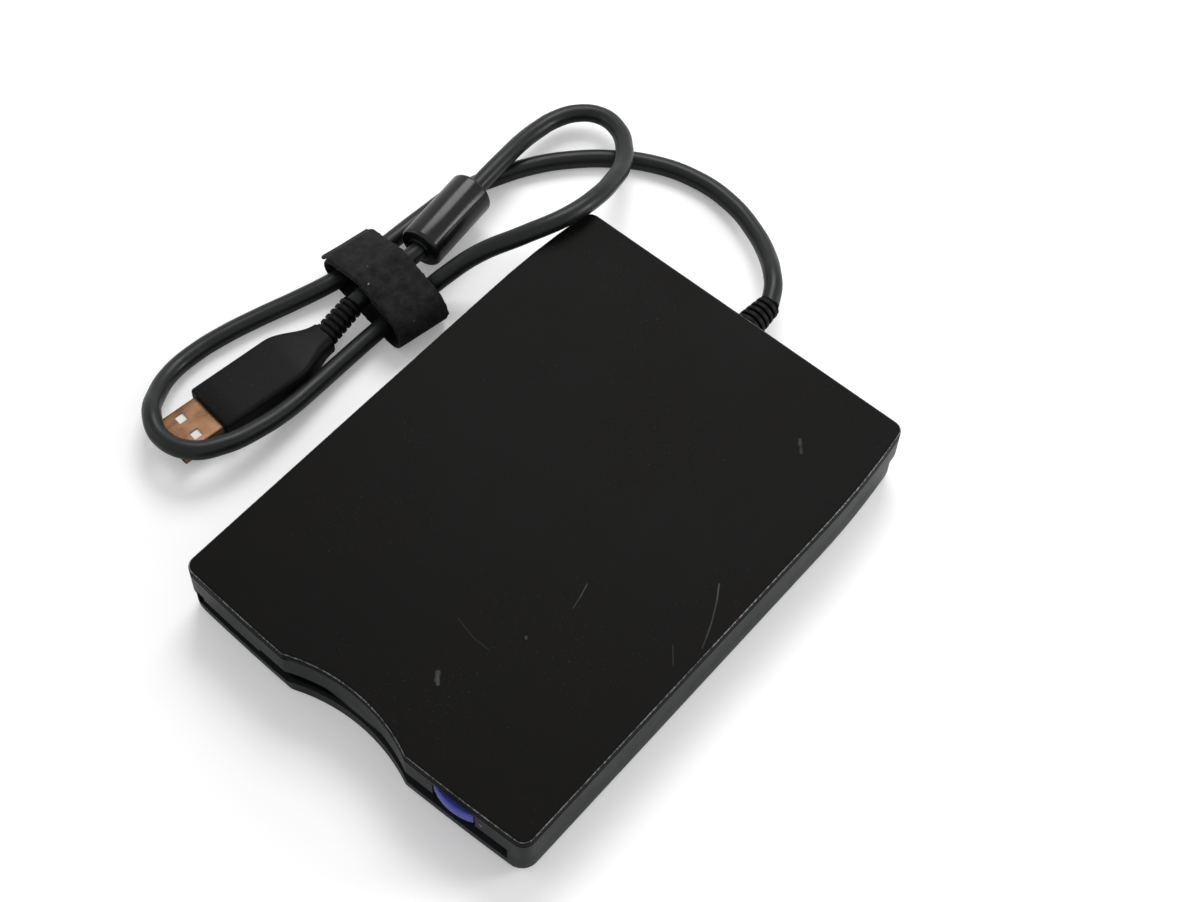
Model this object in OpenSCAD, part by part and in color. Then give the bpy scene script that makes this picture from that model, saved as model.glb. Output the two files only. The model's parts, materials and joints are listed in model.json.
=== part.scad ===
// External floppy drive with a fixed USB cable, a ferrite core and a cable strap.
// Millimetres. Z is up from the table, the disk slot faces -Y, X runs to the right.
// The origin is the centre of the drive's footprint, on the table.

/* [Housing] */
// Width of the housing
body_w = 103; // [98:0.5:110]
// Depth from the front corners to the back face
body_d = 138.4; // [134:0.1:150]
// Height from the table to the top plate
body_h = 17.5; // [16.5:0.1:20]
// How far the front bows out at its middle
front_bow = 1.65; // [0.8:0.05:2.5]
// How far each side draws in at the back
rear_taper = 2.34; // [0:0.02:3]
// Length over which the sides draw in
taper_len = 32.9; // [20:0.1:45]
// Thickness of the side walls
wall = 1.6; // [1.2:0.05:1.7]
// Thickness of the floor
floor_t = 1.2; // [1:0.05:1.4]
// Thickness of the ceiling
ceiling_t = 1; // [0.7:0.05:1.2]
// Height of the seam between the two case halves
seam_z = 8; // [7.5:0.1:8.5]
// Thickness of the top plate
plate_t = 1.8; // [1.2:0.05:2]
// Radius of the top plate's upper edge
plate_edge_r = 0.7; // [0.2:0.05:1]
// Height of the shadow groove under the top plate
groove_h = 0.5; // [0.3:0.05:0.7]
// Depth of the shadow groove
groove_in = 0.7; // [0.4:0.05:1]
// Radius of the lower case's bottom edge
belly_r = 2.3; // [1:0.1:2.5]
// Corner radius of the plate and of the upper case
upper_corner_r = 3; // [2.5:0.25:5]
// Corner radius of the lower case at the front
lower_corner_r = 4; // [3:0.25:6]
// Corner radius of the lower case at the back
rear_corner_r = 6.5; // [5:0.25:9]
// Height of the rubber feet
foot_h = 0.8; // [0.6:0.05:1]
// Radius of the rubber feet
foot_r = 5; // [3:0.25:6]

/* [Front] */
// Slot's left end, from the middle of the drive
slot_left = 48.5; // [47.5:0.1:49]
// Slot's right end, from the middle of the drive
slot_right = 46.5; // [46:0.1:47]
// Height of the slot's lower edge
slot_bottom = 4.3; // [4:0.05:4.6]
// Height of the slot's upper edge
slot_top = 9.2; // [9:0.05:9.4]
// Left and right end of the guide pad in the slot
pad_left = 46; // [45:0.1:47]
// Right end of the guide pad
pad_right = 27.2; // [27:0.1:30]
// Depth of the pad's step behind the lip
pad_step_in = 2.2; // [1:0.1:3]
// Height of the pad's step
pad_step_h = 0.9; // [0.3:0.05:1]
// Width of the thumb scoop
scoop_w = 37; // [30:0.5:44]
// Depth of the thumb scoop behind the band
scoop_depth = 3.9; // [3:0.05:4.3]
// Sideways place of the scoop's middle
scoop_x = -0.6; // [-2:0.1:2]
// Wall behind the scoop
scoop_wall = 1; // [0.8:0.05:1.1]
// Width of the eject button
button_w = 11.5; // [8:0.25:13]
// Height of the eject button
button_h = 4.5; // [3.5:0.1:4.6]
// Sideways place of the eject button
button_x = 31.75; // [30:0.25:33]
// How far the button's middle stands out of the band
button_out = 2; // [1:0.1:3]
// Radius of the light pipe
pipe_r = 0.6; // [0.4:0.05:0.8]
// Sideways place of the light pipe
pipe_x = 39.2; // [39:0.1:41]

/* [Disk] */
// Width of a diskette
disk_w = 90; // [89:0.1:90.3]
// Length of a diskette
disk_l = 94; // [93:0.1:94.5]
// Thickness of a diskette
disk_t = 3.3; // [3.1:0.05:3.4]
// From the diskette's label edge to its hub
hub_from_label = 48; // [47:0.1:49]
// From the front corners to the loaded diskette
disk_inset = 7.7; // [7.4:0.1:8.5]
// How far the carrier lowers the diskette
carrier_drop = 1.3; // [1.1:0.05:1.35]
// Outermost track's radius
track_out_r = 39.5; // [39:0.1:40]
// Travel of the heads from the outermost to the innermost track
head_travel = 14.8; // [14:0.1:15]

/* [Mechanism] */
// Thickness of the bent sheet parts
sheet_t = 0.6; // [0.5:0.02:0.62]
// Thickness of the boards
board_t = 0.6; // [0.5:0.02:0.65]
// Clearance between sliding sheets
slide_gap = 0.3; // [0.25:0.01:0.32]
// Running clearance of shafts and pins, on the radius
run_gap = 0.04; // [0.02:0.01:0.06]
// Travel of the eject slide and its button
eject_travel = 4.5; // [3.5:0.1:5]
// Radius of the spindle's rotor
rotor_r = 20; // [18:0.25:20.25]
// Radius of the hub's seat
hub_r = 12.5; // [11.5:0.25:13]
// Radius of the spindle shaft
shaft_r = 1.5; // [1.2:0.05:1.8]
// Radius of the stepper motor
stepper_r = 4.2; // [3.5:0.1:4.4]
// Length of the stepper motor
stepper_len = 9; // [7:0.25:9.5]
// Radius of the lead screw
screw_r = 1.3; // [1:0.05:1.5]
// Radius of the guide rod
rod_r = 1.25; // [1:0.05:1.5]
// Radius of the arm's hinge pin
arm_pin_r = 0.8; // [0.6:0.05:1]

/* [Cable] */
// Diameter of the cable
cord_d = 4.8; // [4.4:0.05:4.8]
// Diameter of the gland at its collar
gland_d = 8.4; // [7.5:0.1:9]
// Length of the gland outside the case
gland_len = 11.8; // [8:0.2:13]
// Diameter of the ferrite core
ferrite_d = 12; // [10:0.25:12.5]
// Width of the cable strap
strap_w = 15; // [10:0.5:16]
// Thickness of the strap's tape
strap_t = 1; // [0.6:0.05:1]
// Width of the plug's grip
plug_w = 15; // [13.5:0.25:17]
// Thickness of the plug's grip
plug_h = 8; // [6.5:0.1:8]
// Length of the plug's grip
plug_len = 35.5; // [35:0.1:36]
// Width of the plug's metal shell
shell_w = 12; // [11.5:0.05:12.5]
// Height of the plug's metal shell
shell_h = 4.5; // [4.2:0.05:4.8]
// Length of the plug's metal shell
shell_len = 12; // [11:0.1:13]
// Thickness of the shell's metal
shell_t = 0.35; // [0.25:0.01:0.4]

/* [Hidden] */

$fn = 64;
over = 0.5;
touch = 0.05;

// Ground plan of the housing
half_w = body_w / 2;
button_reach = front_bow * (1 - pow(button_x / half_w, 2)) + button_out;
overall_d = body_d + max(button_reach, front_bow);
back_y = overall_d / 2;
corner_y = back_y - body_d;
taper_y = back_y - taper_len;
arc_steps = 16;
corner_steps = 6;
edge_steps = 4;
rear_lean = atan(2 * rear_taper / taper_len);

function half_at(y) = half_w - (y > taper_y ? rear_taper * pow((y - taper_y) / taper_len, 2) : 0);
function front_at(x) = corner_y - front_bow * (1 - pow(x / half_w, 2));
function mirrored(points) = [for (i = [len(points) - 1:-1:0]) [-points[i].x, points[i].y]];

// Right half of the outline from the front's middle to the back, drawn in at the sides and the front
function right_half(inset, front_inset, front_r, rear_r) =
    let (
        corner_x = half_w - inset - front_r,
        corner_start = front_at(corner_x) + front_inset + front_r,
        rear_y = back_y - inset - rear_r,
        rear_start = rear_y + rear_r * sin(rear_lean),
        rear_x = half_at(rear_start) - inset - rear_r * cos(rear_lean)
    )
    concat(
        [for (i = [1:arc_steps]) let (x = corner_x * i / arc_steps) [x, front_at(x) + front_inset]],
        [for (i = [1:corner_steps]) let (a = 90 * i / corner_steps - 90)
            [corner_x + front_r * cos(a), corner_start + front_r * sin(a)]],
        [for (i = [0:corner_steps - 1]) let (y = taper_y + (rear_start - taper_y) * i / corner_steps)
            [half_at(y) - inset, y]],
        [for (i = [0:corner_steps]) let (a = rear_lean + (90 - rear_lean) * i / corner_steps)
            [rear_x + rear_r * cos(a), rear_y + rear_r * sin(a)]]
    );

module plan(inset, front_inset, front_r, rear_r) {
    right = right_half(inset, front_inset, front_r, rear_r);
    polygon(concat([[0, front_at(0) + front_inset]], right, mirrored(right)));
}

// Heights of the housing's layers
floor_z = foot_h + floor_t;
groove_z = body_h - plate_t - groove_h;
ceiling_z = groove_z - ceiling_t;
upper_rear_r = upper_corner_r;

// Thumb scoop, a vertical cylinder in front of the drive
scoop_y = front_at(scoop_w / 2) + scoop_depth;
scoop_r = (pow(scoop_w / 2, 2) + pow(scoop_depth, 2)) / (2 * scoop_depth);

module scoop(grow, low, high) {
    translate([scoop_x, scoop_y - scoop_r, low])
        cylinder(r = scoop_r + grow, h = high - low, $fn = 180);
}

// A box between two corners
module box(low, high) {
    translate(low)
        cube(high - low);
}

// Places its children's Z axis along the line from one point to another
module aim(from, to) {
    way = to - from;
    translate(from)
        rotate([0, acos(way.z / norm(way)), atan2(way.y, way.x)])
            children();
}

// Heights of the mechanism, from the floor up
sheet_z = floor_z + board_t;
deck_z = sheet_z + sheet_t;
bay_z = slot_bottom + carrier_drop;
lip_top = bay_z - touch;
lip_z = lip_top - sheet_t;
roof_slack = 0.25;
roof_z = bay_z + disk_t + roof_slack;
roof_top = roof_z + sheet_t;
slide_z = roof_top + slide_gap;
slide_top = slide_z + sheet_t;
cover_slack = 0.5;
cover_z = slide_top + cover_slack;
cover_top = cover_z + sheet_t;

// Widths of the mechanism, from the diskette out
bay_half = disk_w / 2 + slide_gap;
carrier_half = bay_half + sheet_t;
wing_in = carrier_half + slide_gap;
wing_out = wing_in + sheet_t;
side_in = wing_out + slide_gap;
side_out = side_in + sheet_t;

// Half width of the main board, and the deck's posts under it
main_half = 45;
deck_post_in = 6;
deck_post_x = main_half - deck_post_in;

// Depths of the mechanism, from the front back
disk_front = corner_y + disk_inset;
disk_back = disk_front + disk_l;
hub_y = disk_front + hub_from_label;
head_y = hub_y + track_out_r;
flap_room = 4;
deck_over = 11;
chassis_front = disk_front + flap_room;
clamp_t = 1.6;
clamp_y = disk_back + slide_gap;
block_y = clamp_y + clamp_t + slide_gap + head_travel;
block_len = 7.5;
bracket_gap = 2.4;
bracket_y = block_y + bracket_gap;
bracket_t = 0.8;
stepper_y = bracket_y + bracket_t;
deck_back = disk_back + deck_over;
tongue_over = 0.8;
tongue_back = stepper_y + stepper_len + tongue_over;
tongue_left = 14.5;
tongue_right = 22;

// Screw posts of the case
post_r = 1.9;
front_post_in = 1.5;
rear_post_side = 3.1;
rear_post_in = 4.6;
front_post = [half_w - wall - post_r - touch * 2, disk_front + front_post_in];
rear_post = [half_at(back_y) - wall - rear_post_side, back_y - wall - rear_post_in];
screw_core_r = 0.75;
screw_head_r = 1.6;
screw_head_h = 0.6;
screw_len = 11;
screw_tip = foot_h + screw_head_h + screw_len;

module at_posts() {
    for (side = [-1, 1])
        for (post = [front_post, rear_post])
            translate([side * post.x, post.y, 0])
                children();
}

// Gland and the hole it sits in
gland_z = 9.5;
gland_neck_r = 3;
gland_flange_r = 4.4;
gland_flange_t = 1.6;
gland_tip = back_y + gland_len;

module gland_hole() {
    translate([0, back_y - wall - over, gland_z])
        rotate([-90, 0, 0])
            cylinder(r = gland_neck_r + run_gap, h = wall + 2 * over);
}

// Dust flap's hinge, behind the band
flap_t = 0.8;
flap_in = 0.6;
flap_pivot_in = 1.2;
flap_pivot_up = 1;
flap_side_gap = 0.7;
flap_top_gap = 0.1;
flap_front = scoop_y + flap_in;
flap_pivot_y = flap_front + flap_pivot_in;
flap_pivot_z = slot_top + flap_pivot_up;
flap_pin_r = 0.5;
flap_left = pad_right - flap_side_gap;
flap_right = slot_right - flap_side_gap;
flap_low = slot_bottom + slide_gap;
flap_high = slot_top - flap_top_gap;
lug_t = 1;
lug_gap = 0.2;
lug_reach = 1.5;
lug_z = slot_top + lug_gap;

// Light pipe beside the button
pipe_z = cover_top;

// Button's notch and the slide's stem behind it
notch_gap = 0.2;
button_up = 0.3;
button_in = 1.2;
button_z = slot_top + button_up;
button_back = corner_y + wall + button_in;

module top_plate() {
    color("#242628")
        difference() {
            hull()
                for (i = [0:edge_steps]) {
                    a = 90 * i / edge_steps;
                    inset = plate_edge_r * (1 - cos(a));
                    height = plate_t - plate_edge_r * (1 - sin(a));
                    translate([0, 0, groove_z + groove_h])
                        linear_extrude(height)
                            plan(inset, inset, upper_corner_r - inset, upper_rear_r - inset);
                }
            scoop(0, groove_z, body_h + over);
        }
}

module upper_case() {
    color("#4a4c50")
        difference() {
            union() {
                difference() {
                    union() {
                        translate([0, 0, seam_z])
                            linear_extrude(groove_z - seam_z)
                                plan(0, 0, upper_corner_r, upper_rear_r);
                        translate([0, 0, groove_z])
                            linear_extrude(groove_h)
                                plan(groove_in, groove_in, upper_corner_r - groove_in,
                                    upper_rear_r - groove_in);
                    }
                    difference() {
                        translate([0, 0, seam_z - over])
                            linear_extrude(ceiling_z - seam_z + over)
                                plan(wall, wall, upper_corner_r - wall, upper_rear_r - wall);
                        scoop(scoop_wall, seam_z - over, ceiling_z + over);
                    }
                }
                at_posts()
                    translate([0, 0, seam_z])
                        cylinder(r = post_r, h = ceiling_z - seam_z);
                for (x = [-flap_left - lug_gap - lug_t, flap_right + lug_gap])
                    box([x, flap_pivot_y - lug_reach / 2, lug_z],
                        [x + lug_t, flap_pivot_y + lug_reach, ceiling_z]);
            }
            scoop(0, seam_z - over, body_h);
            box([-pad_right, corner_y - front_bow - over, seam_z - over],
                [slot_right, flap_pivot_y - lug_reach / 2, slot_top]);
            box([-slot_left, corner_y - front_bow - over, seam_z - over],
                [-pad_left, corner_y + wall + over, slot_top]);
            box([button_x - button_w / 2 - notch_gap, corner_y - front_bow - over, seam_z],
                [button_x + button_w / 2 + notch_gap, corner_y + wall + over,
                    button_z + button_h + notch_gap]);
            translate([pipe_x, corner_y + wall + over, pipe_z])
                rotate([90, 0, 0])
                    cylinder(r = pipe_r + run_gap, h = wall + front_bow + 2 * over);
            translate([-flap_left - lug_gap - lug_t - over, flap_pivot_y, flap_pivot_z])
                rotate([0, 90, 0])
                    cylinder(r = flap_pin_r + run_gap,
                        h = flap_left + flap_right + 2 * (lug_gap + lug_t + over));
            gland_hole();
            at_posts()
                translate([0, 0, seam_z - over])
                    cylinder(r = screw_core_r + run_gap, h = screw_tip + over - seam_z + over);
        }
}

// Bosses that carry the chassis and the adapter's board
deck_post_r = 2.4;
deck_post_front = 12;
deck_post_rear = 4.5;
deck_posts_y = [chassis_front + deck_post_front, deck_back - deck_post_rear];
usb_side_gap = 0.6;
usb_front_gap = 1.5;
usb_rear_gap = 3.6;
usb_up = 3;
usb_left = rear_post.x - post_r - usb_side_gap;
usb_right = 21;
usb_front = deck_back + usb_front_gap;
usb_back = back_y - wall - usb_rear_gap;
usb_z = floor_z + usb_up;
usb_t = 1;
usb_post_inset = 3;
usb_posts = [[-usb_left + usb_post_inset, usb_front + usb_post_inset],
             [-usb_right - usb_post_inset, usb_front + usb_post_inset]];

module at_deck_posts() {
    for (side = [-1, 1])
        for (y = deck_posts_y)
            translate([side * deck_post_x, y, 0])
                children();
}

module at_usb_posts() {
    for (post = usb_posts)
        translate([post.x, post.y, 0])
            children();
}

module lower_case() {
    color("#54565a")
        difference() {
            union() {
                difference() {
                    hull()
                        for (i = [0:edge_steps]) {
                            a = 90 * i / edge_steps;
                            inset = belly_r * (1 - sin(a));
                            low = foot_h + belly_r * (1 - cos(a));
                            translate([0, 0, low])
                                linear_extrude(seam_z - low)
                                    plan(inset, inset / 4, lower_corner_r - inset / 4, rear_corner_r - inset);
                        }
                    difference() {
                        translate([0, 0, floor_z])
                            linear_extrude(seam_z)
                                plan(wall, wall, lower_corner_r - wall, rear_corner_r - wall);
                        scoop(scoop_wall, foot_h, seam_z + over);
                    }
                }
                at_posts()
                    translate([0, 0, floor_z])
                        cylinder(r = post_r, h = seam_z - floor_z);
                at_deck_posts()
                    translate([0, 0, floor_z])
                        cylinder(r = deck_post_r, h = board_t);
                at_usb_posts()
                    translate([0, 0, floor_z])
                        cylinder(r = deck_post_r, h = usb_z - floor_z);
                guide_pad();
            }
            scoop(0, 0, seam_z + over);
            box([-slot_left, corner_y - front_bow - over, slot_bottom],
                [-pad_left, corner_y + wall + over, seam_z + over]);
            box([-pad_left, corner_y - front_bow - over, slot_bottom + pad_step_h],
                [slot_right, corner_y + wall + over, seam_z + over]);
            box([-pad_left, corner_y - front_bow - over, slot_bottom],
                [-pad_right, corner_y - front_bow + pad_step_in, seam_z + over]);
            box([-pad_right, corner_y - front_bow - over, slot_bottom],
                [slot_right, disk_front, seam_z + over]);
            gland_hole();
            at_posts() {
                cylinder(r = screw_core_r + run_gap, h = seam_z + over);
                cylinder(r = screw_head_r + slide_gap, h = foot_h + screw_head_h);
            }
            at_deck_posts()
                translate([0, 0, floor_z - floor_t / 2])
                    cylinder(r = screw_core_r + run_gap, h = floor_t + board_t);
            at_usb_posts()
                translate([0, 0, floor_z - floor_t / 2])
                    cylinder(r = screw_core_r + run_gap, h = usb_z);
        }
}

// Raised floor at the left of the slot, that a diskette's edge slides over
pad_stop = 2;
pad_back = disk_front - pad_stop;

module guide_pad() {
    intersection() {
        linear_extrude(seam_z)
            plan(wall / 2, wall / 2, lower_corner_r, rear_corner_r);
        box([-pad_left, corner_y - front_bow, floor_z], [-pad_right, pad_back, slot_bottom + pad_step_h]);
    }
}

foot_side = 12;
foot_end = 15;
foot_x = half_w - foot_side;
foot_y = overall_d / 2 - foot_end;

module rubber_feet() {
    color("#1c1c1e")
        for (x = [-foot_x, foot_x])
            for (y = [-foot_y, foot_y])
                translate([x, y, 0])
                    cylinder(r = foot_r, h = foot_h);
}

module case_screws() {
    color("#9a9da2")
        at_posts() {
            translate([0, 0, foot_h])
                cylinder(r = screw_head_r, h = screw_head_h);
            translate([0, 0, foot_h + screw_head_h])
                cylinder(r = screw_core_r, h = screw_len);
        }
}

module dust_flap() {
    color("#2c2d30") {
        box([-flap_left, flap_front, flap_low], [flap_right, flap_front + flap_t, flap_high]);
        box([-flap_left, flap_front + flap_t - touch, flap_high - flap_t],
            [flap_right, flap_pivot_y + flap_pin_r, flap_high]);
        box([-flap_left, flap_pivot_y - flap_pin_r, flap_high - flap_t],
            [flap_right, flap_pivot_y + flap_pin_r, flap_pivot_z]);
        translate([-flap_left - lug_gap - lug_t, flap_pivot_y, flap_pivot_z])
            rotate([0, 90, 0])
                cylinder(r = flap_pin_r, h = flap_left + flap_right + 2 * (lug_gap + lug_t));
    }
}

spring_t = 0.4;

// Coil on the flap's pin, beyond the left lug's inner face
module flap_spring() {
    color("#b4b7bb")
        translate([-flap_left - lug_gap - 2 * lug_t, flap_pivot_y, flap_pivot_z])
            rotate([0, 90, 0])
                difference() {
                    cylinder(r = flap_pin_r + slide_gap + spring_t, h = lug_t);
                    translate([0, 0, -over])
                        cylinder(r = flap_pin_r + slide_gap, h = lug_t + 2 * over);
                }
}

lamp_w = 2;
lamp_y = chassis_front - lamp_w;

module light_pipe() {
    color("#8c7fb0")
        translate([pipe_x, lamp_y - touch, pipe_z])
            rotate([90, 0, 0])
                cylinder(r = pipe_r, h = lamp_y - touch - front_at(pipe_x));
}

module status_lamp() {
    color("#d8d8e6")
        box([pipe_x - lamp_w / 2, lamp_y, pipe_z - lamp_w / 2],
            [pipe_x + lamp_w / 2, chassis_front, pipe_z + lamp_w / 2]);
}

// Radius of the button's lens shape in plan
button_arc_r = (pow(button_w / 2, 2) + pow(button_out, 2)) / (2 * button_out);

module eject_button() {
    color("#6c64b8")
        intersection() {
            box([button_x - button_w / 2, -back_y, button_z],
                [button_x + button_w / 2, button_back, button_z + button_h]);
            union() {
                translate([button_x, button_arc_r - back_y, button_z - over])
                    cylinder(r = button_arc_r, h = button_h + 2 * over, $fn = 120);
                box([button_x - button_w / 2, button_out - back_y, button_z],
                    [button_x + button_w / 2, button_back, button_z + button_h]);
            }
        }
}

slide_past_hub = 17;
slide_front = chassis_front + eject_travel;
slide_back = hub_y + slide_past_hub;
wing_back_step = 1.5;
wing_up = 0.4;
wing_front = slide_front + wing_back_step;
wing_low = deck_z + wing_up;
stem_half = 3.2;
stem_t = 1.6;
stem_low = cover_z;
stem_high = cover_z + stem_t;
stem_foot = 2.5;
pin_r = 0.7;
pin_play = 0.25;
pin_front = 11;
pin_past_hub = 7;
pin_slot_r = pin_r + pin_play;
pins_y = [slide_front + pin_front, hub_y + pin_past_hub];
pin_z = (bay_z + roof_z) / 2;

// A slot for a pin, through a sheet that faces X
module pin_slot(from, to, x0, x1) {
    way = to - from;
    for (end = [from, to])
        translate([x0, end.x, end.y])
            rotate([0, 90, 0])
                cylinder(r = pin_slot_r, h = x1 - x0);
    translate([x0, from.x, from.y])
        rotate([atan2(way.y, way.x), 0, 0])
            translate([0, 0, -pin_slot_r])
                cube([x1 - x0, norm(way), 2 * pin_slot_r]);
}

module eject_slide() {
    color("#a9acb0")
        difference() {
            union() {
                box([-wing_out, slide_front, slide_z], [wing_out, slide_back, slide_top]);
                for (side = [-1, 1]) {
                    x = side > 0 ? wing_in : -wing_out;
                    box([x, wing_front, wing_low], [x + sheet_t, slide_back, slide_top]);
                }
                box([button_x - stem_half, button_back, stem_low],
                    [button_x + stem_half, slide_front + stem_foot, stem_high]);
                box([button_x - stem_half, slide_front, slide_z],
                    [button_x + stem_half, slide_front + stem_foot, stem_high]);
            }
            for (y = pins_y)
                pin_slot([y, pin_z], [y + eject_travel, pin_z - carrier_drop], -wing_out - over,
                    wing_out + over);
        }
}

eject_spring_r = 0.5;
eject_spring_in = 3.3;
eject_spring_x = bay_half - eject_spring_in;
eject_spring_len = 14;
spring_tab_y = slide_back + eject_spring_len + 2 * touch;

// Compression springs that push the slide out once its latch lets go
module eject_springs() {
    color("#c3c6ca")
        for (side = [-1, 1])
            translate([side * eject_spring_x, slide_back + touch, (slide_z + slide_top) / 2 + touch])
                rotate([-90, 0, 0])
                    cylinder(r = eject_spring_r, h = eject_spring_len);
}

chip_h = 1.1;
chip_gap = 1;
main_gap = 3;
main_in = 1;
main_front = hub_y + rotor_r + main_gap;
main_back = deck_back - main_in;

// Chips on the main board: places by its half width and its depth
chip_big = 12;
chip_mid = 10;
chip_small = 5;
chip_small_d = 4;
chip_shares = [[-0.622, 0.424], [0.6, 0.455], [-0.467, 0.848]];
chip_sizes = [[chip_big, chip_big], [chip_mid, chip_mid], [chip_small, chip_small_d]];
main_d = main_back - main_front;
chips = [for (i = [0:len(chip_shares) - 1])
    [chip_shares[i][0] * main_half, main_front + chip_shares[i][1] * main_d,
        chip_sizes[i][0], chip_sizes[i][1]]];
motor_half = 26;
boards_gap = 0.8;
motor_margin = 4.5;
motor_back = main_front - boards_gap;
motor_front = hub_y - rotor_r - motor_margin;
switch_in = 4;
switch_board_in = 0.5;
switch_board_past = 5;
switch_y = chassis_front + switch_in;
switch_w = 3.4;
switch_h = 1.3;
switch_front = chassis_front + switch_board_in;
switch_back = switch_y + switch_board_past;
switch_side = 5;
switch_pitch = 6;
switch_x = main_half - switch_side;
switches_x = [-switch_x, switch_x - switch_pitch, switch_x];
plunger_r = 0.6;
plunger_travel = 0.6;
plunger_top = slot_bottom + plunger_travel;
rail_half = 8.2;
carriage_half = 7.5;
rail_gap = 0.7;
rotor_gap = 0.8;
rail_past_hub = 15;
screw_gap = 0.2;

module chassis() {
    color("#8f9296")
        difference() {
            union() {
                box([-side_out, chassis_front, sheet_z], [side_out, deck_back, deck_z]);
                box([-tongue_left, deck_back - touch, sheet_z], [tongue_right, tongue_back, deck_z]);
                for (side = [-1, 1]) {
                    x = side > 0 ? side_in : -side_out;
                    box([x, chassis_front, deck_z - touch], [x + sheet_t, disk_back, cover_z]);
                }
                box([screw_x - bracket_half, bracket_y, deck_z - touch],
                    [screw_x + bracket_half, stepper_y, screw_z + bracket_half]);
            }
            translate([0, hub_y, sheet_z - over])
                cylinder(r = rotor_r + rotor_gap, h = sheet_t + 2 * over);
            box([-rail_half, hub_y + rail_past_hub, sheet_z - over],
                [rail_half, block_y + block_len + rail_gap, deck_z + over]);
            for (chip = chips)
                box([chip[0] - chip[2] / 2 - chip_gap, chip[1] - chip[3] / 2 - chip_gap, sheet_z - over],
                    [chip[0] + chip[2] / 2 + chip_gap, chip[1] + chip[3] / 2 + chip_gap, deck_z + over]);
            for (x = switches_x)
                box([x - switch_w / 2 - slide_gap, switch_y - switch_w / 2 - slide_gap, sheet_z - over],
                    [x + switch_w / 2 + slide_gap, switch_y + switch_w / 2 + slide_gap, deck_z + over]);
            at_deck_posts()
                translate([0, 0, sheet_z - over])
                    cylinder(r = screw_core_r + screw_gap, h = sheet_t + 2 * over);
            for (y = pins_y)
                pin_slot([y, pin_z], [y, pin_z - carrier_drop], -side_out - over, side_out + over);
            translate([screw_x, bracket_y - over, screw_z])
                rotate([-90, 0, 0])
                    cylinder(r = screw_r + slide_gap, h = bracket_t + 2 * over);
            translate([track_x - sensor_w / 2 - slide_gap, track_y - sensor_w / 2 - slide_gap,
                sheet_z - over])
                cube([sensor_w + 2 * slide_gap, sensor_w + 2 * slide_gap, sheet_t + 2 * over]);
        }
}

stem_notch = 1.2;
stem_room = 1;
tab_half = 2;
cover_past_hub = 18;

module mech_cover() {
    color("#b0b3b6")
        difference() {
            union() {
                box([-side_out, chassis_front, cover_z], [side_out, disk_back, cover_top]);
                for (side = [-1, 1])
                    box([side * eject_spring_x - tab_half, spring_tab_y, slide_z - touch],
                        [side * eject_spring_x + tab_half, spring_tab_y + sheet_t, cover_z + touch]);
            }
            box([button_x - stem_half - stem_notch, chassis_front - over, cover_z - over],
                [button_x + stem_half + stem_notch, slide_front + stem_foot + stem_room, cover_top + over]);
            box([-carriage_half, hub_y + cover_past_hub, cover_z - over],
                [carriage_half, disk_back + over, cover_top + over]);
        }
}

// Shutter lever's pivot and reach, on the carrier
lever_side = 7;
lever_past_hub = 24;
lever_pivot = [lever_side - disk_w / 2, hub_y + lever_past_hub];
lever_len = 28;
lever_half = 1.6;
lever_t = 0.5;
lever_z = roof_top + touch;
lever_pin_r = 1;
finger_r = 1;
finger_up = 2;
window_share = 0.46;
window_past_hub = 17.5;
window_side = 0.8;
roof_front_in = 3.5;
roof_back_in = 1;
lip_reach = 2;
finger_low = bay_z + finger_up;
window_left = lever_pivot.x + lever_len * window_share;
roof_front = disk_front + roof_front_in;
roof_back = disk_back - roof_back_in;
lip_in = disk_w / 2 - lip_reach;

module disk_carrier() {
    color("#c9cbce") {
        difference() {
            union() {
                box([-carrier_half, roof_front, roof_z], [carrier_half, roof_back, roof_top]);
                for (side = [-1, 1]) {
                    wall_x = side > 0 ? bay_half : -carrier_half;
                    lip_x = side > 0 ? lip_in : -carrier_half;
                    lip_w = carrier_half - lip_in;
                    box([wall_x, roof_front, lip_z], [wall_x + sheet_t, roof_back, roof_top]);
                    box([lip_x, roof_front, lip_z], [lip_x + lip_w, roof_back, lip_top]);
                }
            }
            box([window_left, hub_y + window_past_hub, roof_z - over],
                [rail_half + window_side, roof_back + over, roof_top + over]);
            translate([lever_pivot.x, lever_pivot.y, roof_z - over])
                cylinder(r = finger_r / 2, h = over);
        }
        translate([lever_pivot.x, lever_pivot.y, roof_top - touch])
            cylinder(r = lever_pin_r, h = cover_z - roof_top - 2 * touch);
        for (side = [-1, 1])
            for (y = pins_y)
                translate([side > 0 ? carrier_half - touch : -side_out, y, pin_z])
                    rotate([0, 90, 0])
                        cylinder(r = pin_r, h = side_out - carrier_half + touch);
    }
}

module shutter_lever() {
    color("#d5d2c6")
        difference() {
            union() {
                translate([lever_pivot.x, lever_pivot.y, lever_z])
                    cylinder(r = lever_pin_r + lever_half, h = lever_t);
                box([lever_pivot.x, lever_pivot.y - lever_half, lever_z],
                    [lever_pivot.x + lever_len, lever_pivot.y + lever_half, lever_z + lever_t]);
                translate([lever_pivot.x + lever_len, lever_pivot.y, finger_low])
                    cylinder(r = finger_r, h = lever_z + lever_t - finger_low);
            }
            translate([lever_pivot.x, lever_pivot.y, lever_z - over])
                cylinder(r = lever_pin_r + run_gap, h = lever_t + 2 * over);
        }
}

module shutter_spring() {
    color("#b4b7bb")
        translate([lever_pivot.x, lever_pivot.y, lever_z + lever_t + touch])
            difference() {
                cylinder(r = lever_pin_r + slide_gap + spring_t, h = spring_t);
                translate([0, 0, -over])
                    cylinder(r = lever_pin_r + slide_gap, h = spring_t + 2 * over);
            }
}

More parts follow.
